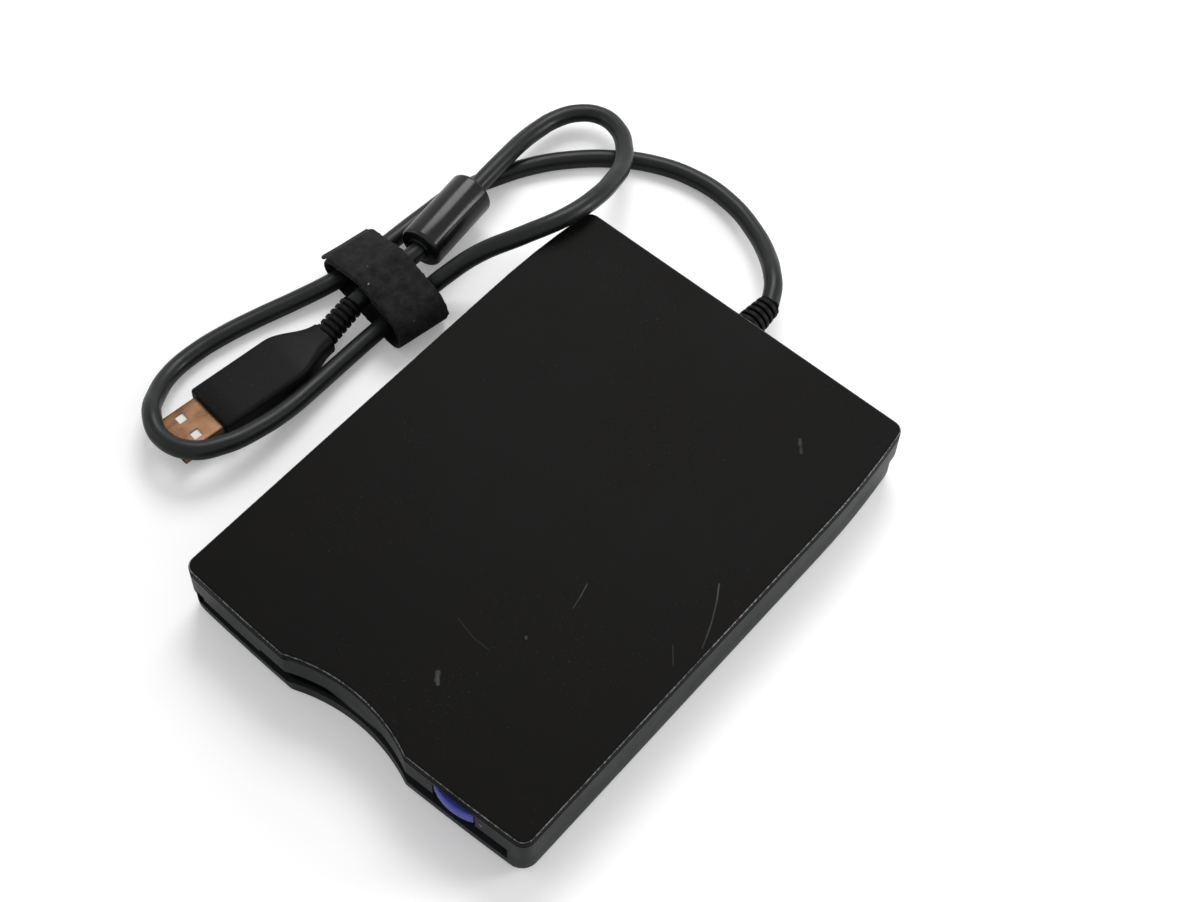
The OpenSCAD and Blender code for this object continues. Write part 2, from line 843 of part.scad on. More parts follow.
bush_r = 3;
bush_top = deck_z + sheet_t;
bush_flange = 1;
bush_flange_t = 0.25;

module motor_board() {
    color("#2f5d46")
        difference() {
            box([-motor_half, motor_front, floor_z], [motor_half, motor_back, floor_z + board_t]);
            translate([0, hub_y, floor_z - over])
                cylinder(r = bush_r + run_gap, h = board_t + 2 * over);
        }
}

coil_ring_r = 14;
coil_r = 4;
coil_h = 0.25;
coil_count = 9;

module stator_coils() {
    color("#b0703c")
        for (i = [0:coil_count - 1])
            rotate_about_hub(360 * i / coil_count)
                translate([coil_ring_r, 0, floor_z + board_t])
                    difference() {
                        cylinder(r = coil_r, h = coil_h, $fn = 32);
                        translate([0, 0, -over])
                            cylinder(r = coil_r / 2, h = coil_h + 2 * over, $fn = 32);
                    }
}

module rotate_about_hub(angle) {
    translate([0, hub_y, 0])
        rotate([0, 0, angle])
            children();
}

module spindle_bearing() {
    color("#c8a35a")
        translate([0, hub_y, 0])
            difference() {
                union() {
                    translate([0, 0, floor_z])
                        cylinder(r = bush_r, h = bush_top - floor_z);
                    translate([0, 0, floor_z + board_t])
                        cylinder(r = bush_r + bush_flange, h = bush_flange_t);
                }
                translate([0, 0, floor_z - over])
                    cylinder(r = shaft_r + run_gap, h = bush_top - floor_z + 2 * over);
            }
}

coil_gap = 0.1;
magnet_z = floor_z + board_t + coil_h + coil_gap;
magnet_t = 0.4;
magnet_in = 0.8;
magnet_bore = 4;
yoke_z = magnet_z + magnet_t;
yoke_t = 0.55;
hub_gap = 0.2;
hub_t = 0.6;
shaft_over = 0.7;
hub_z = bush_top + hub_gap;
hub_top = hub_z + hub_t;
shaft_tip = hub_top + shaft_over;

module spindle_rotor() {
    color("#cfd1d3")
        translate([0, hub_y, 0]) {
            difference() {
                union() {
                    translate([0, 0, yoke_z])
                        cylinder(r = rotor_r, h = yoke_t, $fn = 96);
                    translate([0, 0, yoke_z])
                        cylinder(r = hub_r, h = hub_top - yoke_z, $fn = 96);
                }
                translate([0, 0, yoke_z - over])
                    cylinder(r = bush_r + bush_flange + slide_gap, h = hub_z - yoke_z + over);
            }
            translate([0, 0, floor_z + touch])
                cylinder(r = shaft_r, h = shaft_tip - floor_z - touch);
        }
}

module rotor_magnet() {
    color("#3a3a3c")
        translate([0, hub_y, magnet_z])
            difference() {
                cylinder(r = rotor_r - magnet_in, h = magnet_t, $fn = 96);
                translate([0, 0, -over])
                    cylinder(r = bush_r + magnet_bore, h = magnet_t + 2 * over);
            }
}

drive_pin_ring_r = 9.8;
drive_pin_r = 1;

module drive_pin() {
    color("#dadcdd")
        translate([drive_pin_ring_r, hub_y, hub_top])
            cylinder(r = drive_pin_r, h = shaft_tip - hub_top);
}

screw_x = 16.5;
stepper_up = 0.1;
screw_z = deck_z + stepper_r + stepper_up;
bracket_half = 3.4;

module stepper_motor() {
    color("#9fa2a6")
        translate([screw_x, stepper_y, screw_z])
            rotate([-90, 0, 0])
                difference() {
                    cylinder(r = stepper_r, h = stepper_len);
                    translate([0, 0, -over])
                        cylinder(r = screw_r + run_gap, h = stepper_len / 2 + over);
                }
}

module lead_screw() {
    color("#d2d4d6")
        translate([screw_x, clamp_y + clamp_t / 2, screw_z])
            rotate([-90, 0, 0])
                cylinder(r = screw_r, h = stepper_y + stepper_len / 2 - touch - clamp_y - clamp_t / 2);
}

bearing_half = 2.6;

module screw_bearing() {
    color("#e6e3da")
        difference() {
            box([screw_x - bearing_half, clamp_y, deck_z],
                [screw_x + bearing_half, clamp_y + clamp_t, screw_z + bearing_half]);
            translate([screw_x, clamp_y + clamp_t / 2 - touch, screw_z])
                rotate([-90, 0, 0])
                    cylinder(r = screw_r + run_gap, h = clamp_t);
        }
}

rod_x = -10.4;
rod_up = 3;
rod_z = deck_z + rod_up;
clamp_half = 2.4;
clamp_gap = 2;
rear_clamp_y = block_y + block_len + clamp_gap;

module guide_rod() {
    color("#dcdee0")
        translate([rod_x, clamp_y, rod_z])
            rotate([-90, 0, 0])
                cylinder(r = rod_r, h = rear_clamp_y + clamp_t - clamp_y);
}

module rod_clamps() {
    color("#8b8e92")
        for (y = [clamp_y, rear_clamp_y])
            difference() {
                box([rod_x - clamp_half, y, deck_z], [rod_x + clamp_half, y + clamp_t, rod_z + clamp_half]);
                translate([rod_x, y - over, rod_z])
                    rotate([-90, 0, 0])
                        cylinder(r = rod_r + run_gap, h = clamp_t + 2 * over);
            }
}

arm_drop = 0.5;
arm_z = cover_z - arm_drop;
arm_t = 0.8;
arm_half = 4.5;
barrel_r = arm_pin_r * 1.5;
arm_pin_z = arm_z + arm_t / 2;
arm_pin_in = 4;
arm_pin_y = block_y + arm_pin_in;
block_up = 0.4;
block_low = deck_z + block_up;
block_top = rod_z + clamp_half;
block_left = -13;
block_gap = 0.5;
block_right = screw_x - stepper_r - block_gap;
lug_half = 6.5;
ear_t = 1.4;
plate_up = 0.35;
plate_gap = 0.3;
plate_low = sheet_z + plate_up;
plate_top = slot_bottom - plate_gap;
head_front = 4;
follower_t = 1.6;
follower_gap = 0.3;
ear_half = 1.6;
ear_over = 1.5;

module head_carriage() {
    color("#e4e1d6")
        difference() {
            union() {
                box([-carriage_half, head_y - head_front, plate_low],
                    [carriage_half, block_y + block_len, plate_top]);
                box([block_left, block_y, block_low], [block_right, block_y + block_len, block_top]);
                box([block_right - touch, block_y, block_low],
                    [screw_x - screw_r - follower_gap, block_y + follower_t, block_top]);
                for (x = [-lug_half, lug_half - ear_t])
                    box([x, arm_pin_y - ear_half, block_top - touch],
                        [x + ear_t, arm_pin_y + ear_half, arm_pin_z + ear_over]);
            }
            translate([rod_x, block_y - over, rod_z])
                rotate([-90, 0, 0])
                    cylinder(r = rod_r + run_gap, h = block_len + 2 * over);
            translate([-lug_half - over, arm_pin_y, arm_pin_z])
                rotate([0, 90, 0])
                    cylinder(r = arm_pin_r + run_gap, h = 2 * (lug_half + over));
        }
}

head_over = 0.25;
lower_head_top = bay_z + head_over;
lower_head_r = 3;

module lower_head() {
    color("#4c4a48")
        translate([0, head_y, plate_top])
            cylinder(r = lower_head_r, h = lower_head_top - plate_top);
}

module head_arm() {
    color("#c5c8cb") {
        box([-arm_half, head_y - head_front, arm_z], [arm_half, arm_pin_y, arm_z + arm_t]);
        translate([-lug_half, arm_pin_y, arm_pin_z])
            rotate([0, 90, 0])
                cylinder(r = arm_pin_r, h = 2 * lug_half);
        translate([-arm_half, arm_pin_y, arm_pin_z])
            rotate([0, 90, 0])
                cylinder(r = barrel_r, h = 2 * arm_half);
    }
}

head_gap = 0.15;
upper_head_low = bay_z + disk_t + head_gap;

module upper_head() {
    color("#4c4a48")
        translate([0, head_y, upper_head_low])
            cylinder(r = lower_head_r, h = arm_z - upper_head_low);
}

// Small coil beside the arm's barrel, on its pin
module arm_spring() {
    color("#b4b7bb")
        for (x = [-lug_half - ear_t / 2 - touch, lug_half + touch])
            translate([x, arm_pin_y, arm_pin_z])
                rotate([0, 90, 0])
                    cylinder(r = arm_pin_r + spring_t, h = ear_t / 2);
}

module main_board() {
    color("#2f6b4a")
        difference() {
            box([-main_half, main_front, floor_z], [main_half, main_back, floor_z + board_t]);
            translate([deck_post_x, deck_posts_y[1], floor_z - over])
                cylinder(r = deck_post_r + slide_gap, h = board_t + 2 * over);
            translate([-deck_post_x, deck_posts_y[1], floor_z - over])
                cylinder(r = deck_post_r + slide_gap, h = board_t + 2 * over);
        }
}

module board_chips() {
    color("#26272a")
        for (chip = chips)
            translate([chip[0] - chip[2] / 2, chip[1] - chip[3] / 2, floor_z + board_t])
                cube([chip[2], chip[3], chip_h]);
}

module switch_board() {
    color("#2f6b4a")
        box([-main_half + main_in, switch_front, floor_z],
            [main_half - main_in, switch_back, floor_z + board_t]);
}

switch_top = floor_z + board_t + switch_h;

module sensor_switches() {
    color("#1f2022")
        for (x = switches_x)
            difference() {
                box([x - switch_w / 2, switch_y - switch_w / 2, floor_z + board_t],
                    [x + switch_w / 2, switch_y + switch_w / 2, switch_top]);
                translate([x, switch_y, floor_z + board_t + touch])
                    cylinder(r = plunger_r + run_gap, h = switch_h + over);
            }
}

module plunger(x) {
    color("#e8e6e0")
        translate([x, switch_y, floor_z + board_t + touch + plunger_travel + touch])
            cylinder(r = plunger_r, h = plunger_top - floor_z - board_t - plunger_travel - 2 * touch);
}

module write_protect_plunger() {
    plunger(switches_x[0]);
}

module disk_in_plunger() {
    plunger(switches_x[1]);
}

module density_plunger() {
    plunger(switches_x[2]);
}

track_x = 11.2;
track_past = 6.5;
track_y = disk_back + track_past;
sensor_w = 2.6;
sensor_top = block_low - slide_gap;

module track_sensor() {
    color("#222326")
        translate([track_x - sensor_w / 2, track_y - sensor_w / 2, floor_z + board_t])
            cube([sensor_w, sensor_w, sensor_top - floor_z - board_t]);
}

flex_t = 0.2;
flex_reach = 4.6;
flex_in = 3;
flex_h = 3.2;
flex_foot = 1.5;
flex_x = block_left - flex_reach;
flex_y = block_y + flex_in;
flex_high = block_low + flex_h;

// Flat cable from the carriage to the main board
module head_flex() {
    color("#c98a2e") {
        box([flex_x, flex_y, block_low], [block_left, flex_y + flex_t, flex_high]);
        box([flex_x, main_back - flex_foot, block_low], [flex_x + flex_t, flex_y + flex_t, flex_high]);
    }
}

module usb_board() {
    color("#2f5d46")
        difference() {
            box([-usb_left, usb_front, usb_z], [-usb_right, usb_back, usb_z + usb_t]);
            at_usb_posts()
                translate([0, 0, usb_z - over])
                    cylinder(r = screw_core_r + screw_gap, h = usb_t + 2 * over);
        }
}

usb_chip_w = 7;
usb_chip_side = 2;
usb_chip_in = 1;
usb_cap_r = 1.8;
usb_cap_side = 4;
usb_cap_in = 1.5;
usb_chip_y = (usb_front + usb_back) / 2;

module usb_chips() {
    color("#26272a") {
        box([-usb_left + usb_chip_side, usb_chip_y - usb_chip_in, usb_z + usb_t],
            [-usb_left + usb_chip_side + usb_chip_w, usb_chip_y - usb_chip_in + usb_chip_w,
                usb_z + usb_t + chip_h]);
        translate([-usb_right - usb_cap_side, usb_chip_y - usb_cap_in, usb_z + usb_t])
            cylinder(r = usb_cap_r, h = 3 * chip_h);
    }
}

connector = [8, 4, 2.4];
connector_side = 3;
connector_in = 2;
connector_x = -usb_right - connector_side - connector.x;
connector_y = usb_back - connector_in - connector.y;

module cable_connector() {
    color("#f0ede2")
        translate([connector_x, connector_y, usb_z + usb_t])
            cube(connector);
}

tail_r = connector.z / 2;
tail_end = [connector_x + connector.x, connector_y + connector.y / 2, usb_z + usb_t + tail_r];
tail_start = [0, back_y - wall - gland_flange_t, gland_z];
tail_drop = (tail_start.z - tail_end.z) / 4;
tail_route = [tail_start, [-tail_r, tail_start.y - 1.5 * tail_r, gland_z - tail_drop / 4],
              [-4 * tail_r, tail_start.y - 2.5 * tail_r, gland_z - 2 * tail_drop],
              [tail_end.x + 3 * tail_r, tail_end.y + tail_r / 2, tail_end.z + tail_drop / 2], tail_end];

// The cable's own end inside the case, from the gland to its connector
module cable_tail() {
    color("#1b1c1e")
        tube(tail_route, tail_r, [0, -1, 0], [-1, 0, 0]);
}

module screw(z, head_h, length) {
    translate([0, 0, z])
        cylinder(r = screw_head_r, h = head_h);
    translate([0, 0, z - length])
        cylinder(r = screw_core_r, h = length);
}

module mech_screws() {
    color("#a6a9ad")
        at_deck_posts()
            screw(deck_z, screw_head_h, deck_z - floor_z + touch);
}

module board_screws() {
    color("#a6a9ad")
        at_usb_posts()
            screw(usb_z + usb_t, screw_head_h, usb_t + deck_post_r);
}

rib_count = 5;
rib_depth = 0.5;
gland_collar = 2;
gland_tip_wall = 0.7;
gland_tip_r = cord_d / 2 + gland_tip_wall;

// Half profile of a ribbed sleeve: a plain collar, then ribs that taper to the tip
function rib_points(length, r0, r1, count, depth) =
    [for (i = [0:count - 1]) for (k = [0:3])
        let (
            share = (i + (k + 0.5) / 4) / count,
            r = r0 + (r1 - r0) * share
        )
        [k < 2 ? r : r - depth, length * share]];

module ribbed(collar, length, r0, r1) {
    rotate_extrude()
        polygon(concat([[0, 0], [r0, 0], [r0, collar]],
            [for (p = rib_points(length - collar, r0, r1, rib_count, rib_depth)) [p.x, p.y + collar]],
            [[r1 - rib_depth, length], [0, length]]));
}

module cable_gland() {
    color("#1a1b1d") {
        translate([0, back_y - wall - gland_flange_t, gland_z])
            rotate([-90, 0, 0])
                cylinder(r = gland_flange_r, h = gland_flange_t);
        translate([0, back_y - wall, gland_z])
            rotate([-90, 0, 0])
                cylinder(r = gland_neck_r, h = wall);
        translate([0, back_y, gland_z])
            rotate([-90, 0, 0])
                ribbed(gland_collar, gland_len, gland_d / 2, gland_tip_r);
    }
}

// Route of the cable from the gland's tip to the ferrite core's far end
cord_route = [
    [0, gland_tip, gland_z], [-2.8, 87.6, 9.5], [-5.6, 90.9, 9], [-10.5, 95.7, 7], [-19, 101.4, 4.8],
    [-30.5, 105.8, 3.2], [-42.1, 106.4, 2.6], [-54, 103, 2.5], [-63.5, 97, 2.5], [-71, 90, 2.5],
    [-77.5, 81.5, 2.5], [-82.5, 71.5, 2.5], [-86.5, 60.5, 2.5], [-87.6, 49.1, 2.6], [-87.7, 37.9, 3.5],
    [-88, 28.6, 3.7], [-89.6, 18.7, 3.7], [-93, 8.5, 2.9], [-96.5, -1.5, 2.5], [-99, -10.5, 2.5],
    [-100.5, -19, 2.5], [-100.2, -27.5, 3.2], [-96.9, -35.1, 5.5], [-91, -41.7, 9], [-84.6, -44.5, 9.3],
    [-77, -42.5, 9.4], [-72.5, -35.5, 8.5], [-70.5, -26.5, 7], [-70, -17.5, 5.5], [-70.5, -8, 4.2],
    [-71, 2, 3.4], [-71, 12, 3.4], [-70.5, 20, 4], [-69.5, 28, 5.2], [-67, 36, 9], [-62.5, 43.5, 14.5],
    [-55.7, 52.6, 19], [-50.6, 63.5, 20.6], [-50, 74, 19], [-52.4, 83.6, 15], [-55.4, 90.9, 11.5],
    [-60.2, 97.7, 8.8], [-67, 103, 6.8], [-74, 104, 5.8], [-79.2, 100.7, 5.5], [-82.1, 95.2, 5.5],
    [-82.9, 89.3, 6], [-82.6, 82.2, 7.2], [-81.5, 74.9, 8.6], [-80.7, 68, 9.2], [-80, 61, 9.2]
];
ferrite_far = [-80, 61, 9.2];
ferrite_near = [-77.3, 37, 9.2];
relief_far = [-79.6, 15.5, 6.2];
plug_route = [ferrite_near, [-77.6, 32, 9], [-78.3, 27, 8.4], [-79, 21, 7.3], relief_far];
cord_sides = 12;

function unit(v) = v / norm(v);

// Direction of a route at each point, with the two ends given
function heading(route, i, first, last) =
    i == 0 ? first : i == len(route) - 1 ? last
        : unit(unit(route[i + 1] - route[i]) + unit(route[i] - route[i - 1]));

function ring(centre, ahead, r) =
    let (side = unit(cross(ahead, [0, 0, 1])), top = cross(side, ahead))
    [for (k = [0:cord_sides - 1]) let (a = 360 * k / cord_sides) centre + r * (cos(a) * side + sin(a) * top)];

module tube(route, r, first, last) {
    count = len(route);
    points = [for (i = [0:count - 1]) each ring(route[i], heading(route, i, first, last), r)];
    sides = [for (i = [0:count - 2]) for (k = [0:cord_sides - 1])
        let (next = (k + 1) % cord_sides, base = i * cord_sides)
        each [[base + k, base + next, base + cord_sides + k],
              [base + next, base + cord_sides + next, base + cord_sides + k]]];
    caps = [for (k = [1:cord_sides - 2])
        each [[0, k + 1, k], [(count - 1) * cord_sides, (count - 1) * cord_sides + k,
            (count - 1) * cord_sides + k + 1]]];
    polyhedron(points = points, faces = concat(sides, caps));
}

module cord_main() {
    color("#1d1e20")
        tube(cord_route, cord_d / 2, [0, 1, 0], unit(ferrite_near - ferrite_far));
}

module cord_plug_end() {
    color("#1d1e20")
        tube(plug_route, cord_d / 2, unit(ferrite_near - ferrite_far), unit(relief_near - relief_far));
}

ferrite_edge = 1;

module ferrite_core() {
    length = norm(ferrite_near - ferrite_far);
    r = ferrite_d / 2;
    color("#101113")
        aim(ferrite_far, ferrite_near)
            rotate_extrude()
                polygon([[0, 0], [r - ferrite_edge, 0], [r, ferrite_edge], [r, length - ferrite_edge],
                    [r - ferrite_edge, length], [0, length]]);
}

// Strap round three strands: a circle near each strand, as x, z and radius
strap_turn = 10;
strap_centre = [-78, 25];
strap_circles = [[-11.6, 4.4, 3.3], [-0.5, 8.8, 3], [11.5, 5.4, 4.3]];
strap_lap_z = 6;
strap_tip_len = 4;

module strap_outline(grow) {
    hull()
        for (c = strap_circles)
            translate([c[0], c[1]])
                circle(r = c[2] + grow, $fn = 32);
}

module cable_strap() {
    color("#151517")
        translate([strap_centre.x, strap_centre.y, 0])
            rotate([0, 0, -strap_turn])
                translate([0, strap_w / 2, 0])
                    rotate([90, 0, 0])
                        linear_extrude(strap_w) {
                            difference() {
                                strap_outline(strap_t);
                                strap_outline(0);
                            }
                            difference() {
                                strap_outline(2 * strap_t);
                                strap_outline(strap_t - touch);
                                translate([-body_w / 2, -body_h])
                                    square([body_w, body_h + strap_lap_z]);
                            }
                            translate([strap_circles[0][0] - strap_circles[0][2] - strap_tip_len / 2,
                                strap_lap_z])
                                square([strap_tip_len / 2, strap_t]);
                        }
}

// The plug lies turned a little, its shell towards -Y
plug_turn = 7;
plug_face = [-83.2, -30.7];
plug_z = 4;
grip_len = 22;
neck_w = 8;
neck_h = 6.4;
relief_r = 3.25;
relief_in = 1;
relief_up = 0.1;
relief_taper = 0.2;
relief_near = [plug_face.x + (plug_len - relief_in) * sin(plug_turn),
               plug_face.y + (plug_len - relief_in) * cos(plug_turn), plug_z + relief_up];
taper_steps = 8;

module at_plug() {
    translate([plug_face.x, plug_face.y, plug_z])
        rotate([0, 0, -plug_turn])
            children();
}

function eased(share) = (1 - cos(180 * share)) / 2;

// Half outline of the grip: straight, then drawn in to the neck
function grip_side(full, neck) =
    concat([[full / 2, 0]],
        [for (i = [0:taper_steps]) let (share = i / taper_steps)
            [full / 2 - (full - neck) / 2 * eased(share), grip_len + (plug_len - grip_len) * share]]);

module grip_outline(full, neck) {
    side = grip_side(full, neck);
    polygon(concat(side, mirrored(side)));
}

module plug_body() {
    color("#17181a")
        at_plug()
            intersection() {
                translate([0, 0, -plug_h])
                    linear_extrude(2 * plug_h)
                        grip_outline(plug_w, neck_w);
                translate([-plug_w, 0, 0])
                    rotate([90, 0, 90])
                        linear_extrude(2 * plug_w)
                            rotate([0, 0, 90])
                                mirror([0, 1, 0])
                                    grip_outline(plug_h, neck_h);
            }
}

module plug_relief() {
    color("#1a1b1d")
        aim(relief_near, relief_far)
            ribbed(relief_in, norm(relief_far - relief_near), relief_r, relief_r - relief_taper);
}

hole_w = 2.4;
hole_x = 3;
hole_y = 6.2;

module usb_shell() {
    color("#c9a58c")
        at_plug()
            difference() {
                translate([-shell_w / 2, -shell_len, -shell_h / 2])
                    cube([shell_w, shell_len, shell_h]);
                translate([-shell_w / 2 + shell_t, -shell_len - over, -shell_h / 2 + shell_t])
                    cube([shell_w - 2 * shell_t, shell_len - shell_t + over, shell_h - 2 * shell_t]);
                for (side = [-1, 1])
                    translate([side * hole_x - hole_w / 2, -hole_y - hole_w / 2, -shell_h])
                        cube([hole_w, hole_w, 2 * shell_h]);
            }
}

tongue_t = 1.8;
tongue_in = 0.8;

module usb_tongue() {
    color("#e9e9e6")
        at_plug()
            translate([-shell_w / 2 + shell_t, -shell_len + tongue_in, shell_h / 2 - shell_t - tongue_t])
                cube([shell_w - 2 * shell_t, shell_len - tongue_in - shell_t, tongue_t]);
}

contact_w = 1;
contact_t = 0.15;
contacts_x = [-3.5, -1, 1, 3.5];

module usb_contacts() {
    color("#d8b45a")
        at_plug()
            for (x = contacts_x)
                translate([x - contact_w / 2, -shell_len + 2 * tongue_in,
                    shell_h / 2 - shell_t - tongue_t - contact_t])
                    cube([contact_w, shell_len - 3 * tongue_in, contact_t]);
}

top_plate();
upper_case();
lower_case();
rubber_feet();
case_screws();
dust_flap();
flap_spring();
light_pipe();
status_lamp();
eject_button();
eject_slide();
eject_springs();
chassis();
mech_cover();
disk_carrier();
shutter_lever();
shutter_spring();
motor_board();
stator_coils();
spindle_bearing();
spindle_rotor();
rotor_magnet();
drive_pin();
stepper_motor();
lead_screw();
screw_bearing();
guide_rod();
rod_clamps();
head_carriage();
lower_head();
head_arm();
upper_head();
arm_spring();
main_board();
board_chips();
switch_board();
sensor_switches();
write_protect_plunger();
density_plunger();
disk_in_plunger();
track_sensor();
head_flex();
usb_board();
usb_chips();
cable_connector();
cable_tail();
mech_screws();
board_screws();
cable_gland();
cord_main();
ferrite_core();
cable_strap();
cord_plug_end();
plug_relief();
plug_body();
usb_shell();
usb_tongue();
usb_contacts();
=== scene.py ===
import json
import math
import random

import bmesh
import bpy
from mathutils import Matrix, Vector


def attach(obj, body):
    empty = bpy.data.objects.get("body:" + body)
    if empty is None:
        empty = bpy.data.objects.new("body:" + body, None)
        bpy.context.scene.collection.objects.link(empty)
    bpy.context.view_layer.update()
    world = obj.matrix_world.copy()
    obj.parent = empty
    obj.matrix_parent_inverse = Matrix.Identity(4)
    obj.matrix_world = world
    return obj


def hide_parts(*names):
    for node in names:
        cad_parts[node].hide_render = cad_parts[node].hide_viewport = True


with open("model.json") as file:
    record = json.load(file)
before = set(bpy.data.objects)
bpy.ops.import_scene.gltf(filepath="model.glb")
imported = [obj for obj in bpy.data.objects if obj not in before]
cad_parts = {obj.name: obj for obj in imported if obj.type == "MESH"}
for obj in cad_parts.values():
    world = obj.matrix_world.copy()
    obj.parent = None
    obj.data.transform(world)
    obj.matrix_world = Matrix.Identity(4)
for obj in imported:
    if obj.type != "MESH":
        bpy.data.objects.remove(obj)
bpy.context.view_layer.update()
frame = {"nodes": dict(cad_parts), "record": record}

MM = 0.001
UP = Vector((0, 0, 1))

# Camera, from the outline of the drive in the photograph
CAMERA_AT = Vector((165.1, -195.4, 445.3)) * MM
CAMERA_YAW = math.radians(37.89)
CAMERA_PITCH = math.radians(57.74)
CAMERA_ROLL = math.radians(3.02)
CAMERA_LENS = 64.78
SENSOR_W = 36
CLIP_NEAR = 0.02
CLIP_FAR = 20

# Sizes of the housing, in millimetres, as in the part's source
HALF_W = 51.5
BACK_Y = 70.7114
CORNER_Y = -67.6886
FRONT_BOW = 1.65
REAR_TAPER = 2.34
TAPER_LEN = 32.9
SCOOP_X = -0.6
SCOOP_Y = -65.2256
SCOOP_R = 45.8282
PLATE_LOW = 15.7
PLATE_TOP = 17.5
PLATE_EDGE_R = 0.7
PLATE_LOW_R = 0.15
PLATE_RIM = 0.4
PLATE_CORNER_R = 3.0
EDGE_STEPS = 8

# Route of the cord from the gland's tip, through the ferrite core, to the plug's relief
CORD_D = 4.8
CORD_ROUTE = [
    (0, 82.5114, 9.5), (-2.8, 87.6, 9.5), (-5.6, 90.9, 9), (-10.5, 95.7, 7), (-19, 101.4, 4.8),
    (-30.5, 105.8, 3.2), (-42.1, 106.4, 2.6), (-54, 103, 2.5), (-63.5, 97, 2.5), (-71, 90, 2.5),
    (-77.5, 81.5, 2.5), (-82.5, 71.5, 2.5), (-86.5, 60.5, 2.5), (-87.6, 49.1, 2.6), (-87.7, 37.9, 3.5),
    (-88, 28.6, 3.7), (-89.6, 18.7, 3.7), (-93, 8.5, 2.9), (-96.5, -1.5, 2.5), (-99, -10.5, 2.5),
    (-100.5, -19, 2.5), (-100.2, -27.5, 3.2), (-96.9, -35.1, 5.5), (-91, -41.7, 9), (-84.6, -44.5, 9.3),
    (-77, -42.5, 9.4), (-72.5, -35.5, 8.5), (-70.5, -26.5, 7), (-70, -17.5, 5.5), (-70.5, -8, 4.2),
    (-71, 2, 3.4), (-71, 12, 3.4), (-70.5, 20, 4), (-69.5, 28, 5.2), (-67, 36, 9), (-62.5, 43.5, 14.5),
    (-55.7, 52.6, 19), (-50.6, 63.5, 20.6), (-50, 74, 19), (-52.4, 83.6, 15), (-55.4, 90.9, 11.5),
    (-60.2, 97.7, 8.8), (-67, 103, 6.8), (-74, 104, 5.8), (-79.2, 100.7, 5.5), (-82.1, 95.2, 5.5),
    (-82.9, 89.3, 6), (-82.6, 82.2, 7.2), (-81.5, 74.9, 8.6), (-80.7, 68, 9.2), (-80, 61, 9.2),
    (-78.7, 49, 9.2), (-77.3, 37, 9.2), (-77.6, 32, 9), (-78.3, 27, 8.4), (-79, 21, 7.3),
    (-79.6, 15.5, 6.2),
]
# Bore of the sleeves' tips on the cord, and the ends of the ferrite core and of the plug's relief
BORE_R = 2.35
FERRITE_FAR = Vector((-80, 61, 9.2))
FERRITE_NEAR = Vector((-77.3, 37, 9.2))
RELIEF_FAR = Vector(CORD_ROUTE[-1])
RELIEF_NEAR = Vector((-78.9955, 3.5428, 4.1))


def camera_axes():
    """Right, up and back of the camera in the row frame."""
    cy, sy = math.cos(CAMERA_YAW), math.sin(CAMERA_YAW)
    cp, sp = math.cos(CAMERA_PITCH), math.sin(CAMERA_PITCH)
    cr, sr = math.cos(CAMERA_ROLL), math.sin(CAMERA_ROLL)
    ahead = Vector((-sy * cp, cy * cp, -sp))
    level = Vector((cy, sy, 0))
    above = level.cross(ahead)
    right = cr * level + sr * above
    up = cr * above - sr * level
    return right, up, -ahead


def add_camera():
    data = bpy.data.cameras.new("view_camera")
    data.lens = CAMERA_LENS
    data.sensor_width = SENSOR_W
    data.clip_start = CLIP_NEAR
    data.clip_end = CLIP_FAR
    camera = bpy.data.objects.new("view_camera", data)
    bpy.context.scene.collection.objects.link(camera)
    right, up, back = camera_axes()
    camera.matrix_world = Matrix((
        (right.x, up.x, back.x, CAMERA_AT.x),
        (right.y, up.y, back.y, CAMERA_AT.y),
        (right.z, up.z, back.z, CAMERA_AT.z),
        (0, 0, 0, 1),
    ))
    bpy.context.scene.camera = camera


# Shader groups

SURFACE_OUTPUTS = [
    ("Colour", "NodeSocketColor"),
    ("Roughness", "NodeSocketFloat"),
    ("Height", "NodeSocketFloat"),
]


def new_group(name, inputs, outputs):
    """A shader node group with its inputs and outputs, given as (name, type, value)."""
    group = bpy.data.node_groups.new(name, "ShaderNodeTree")
    for label, kind, value in inputs:
        made = group.interface.new_socket(label, in_out="INPUT", socket_type=kind)
        if value is not None:
            made.default_value = value
    for label, kind in outputs:
        group.interface.new_socket(label, in_out="OUTPUT", socket_type=kind)
    return group


def group_ends(group):
    """The nodes and links of a group, what it is given and what it gives."""
    given = group.nodes.new("NodeGroupInput").outputs
    out = group.nodes.new("NodeGroupOutput").inputs
    return group.nodes, group.links, given, out


def noise(nodes, links, vector, scale, detail=3.0, roughness=0.55):
    """A noise texture; scale is a number or a socket."""
    made = nodes.new("ShaderNodeTexNoise")
    made.inputs["Detail"].default_value = detail
    made.inputs["Roughness"].default_value = roughness
    links.new(vector, made.inputs["Vector"])
    if isinstance(scale, (int, float)):
        made.inputs["Scale"].default_value = scale
    else:
        links.new(scale, made.inputs["Scale"])
    return made.outputs["Fac"]


def spread(nodes, links, value, low, high, to_low=0.0, to_high=1.0):
    """Value from low to high mapped to another span, held at its ends."""
    made = nodes.new("ShaderNodeMapRange")
    links.new(value, made.inputs["Value"])
    for label, given in (("From Min", low), ("From Max", high), ("To Min", to_low), ("To Max", to_high)):
        if isinstance(given, (int, float)):
            made.inputs[label].default_value = given
        else:
            links.new(given, made.inputs[label])
    return made.outputs["Result"]


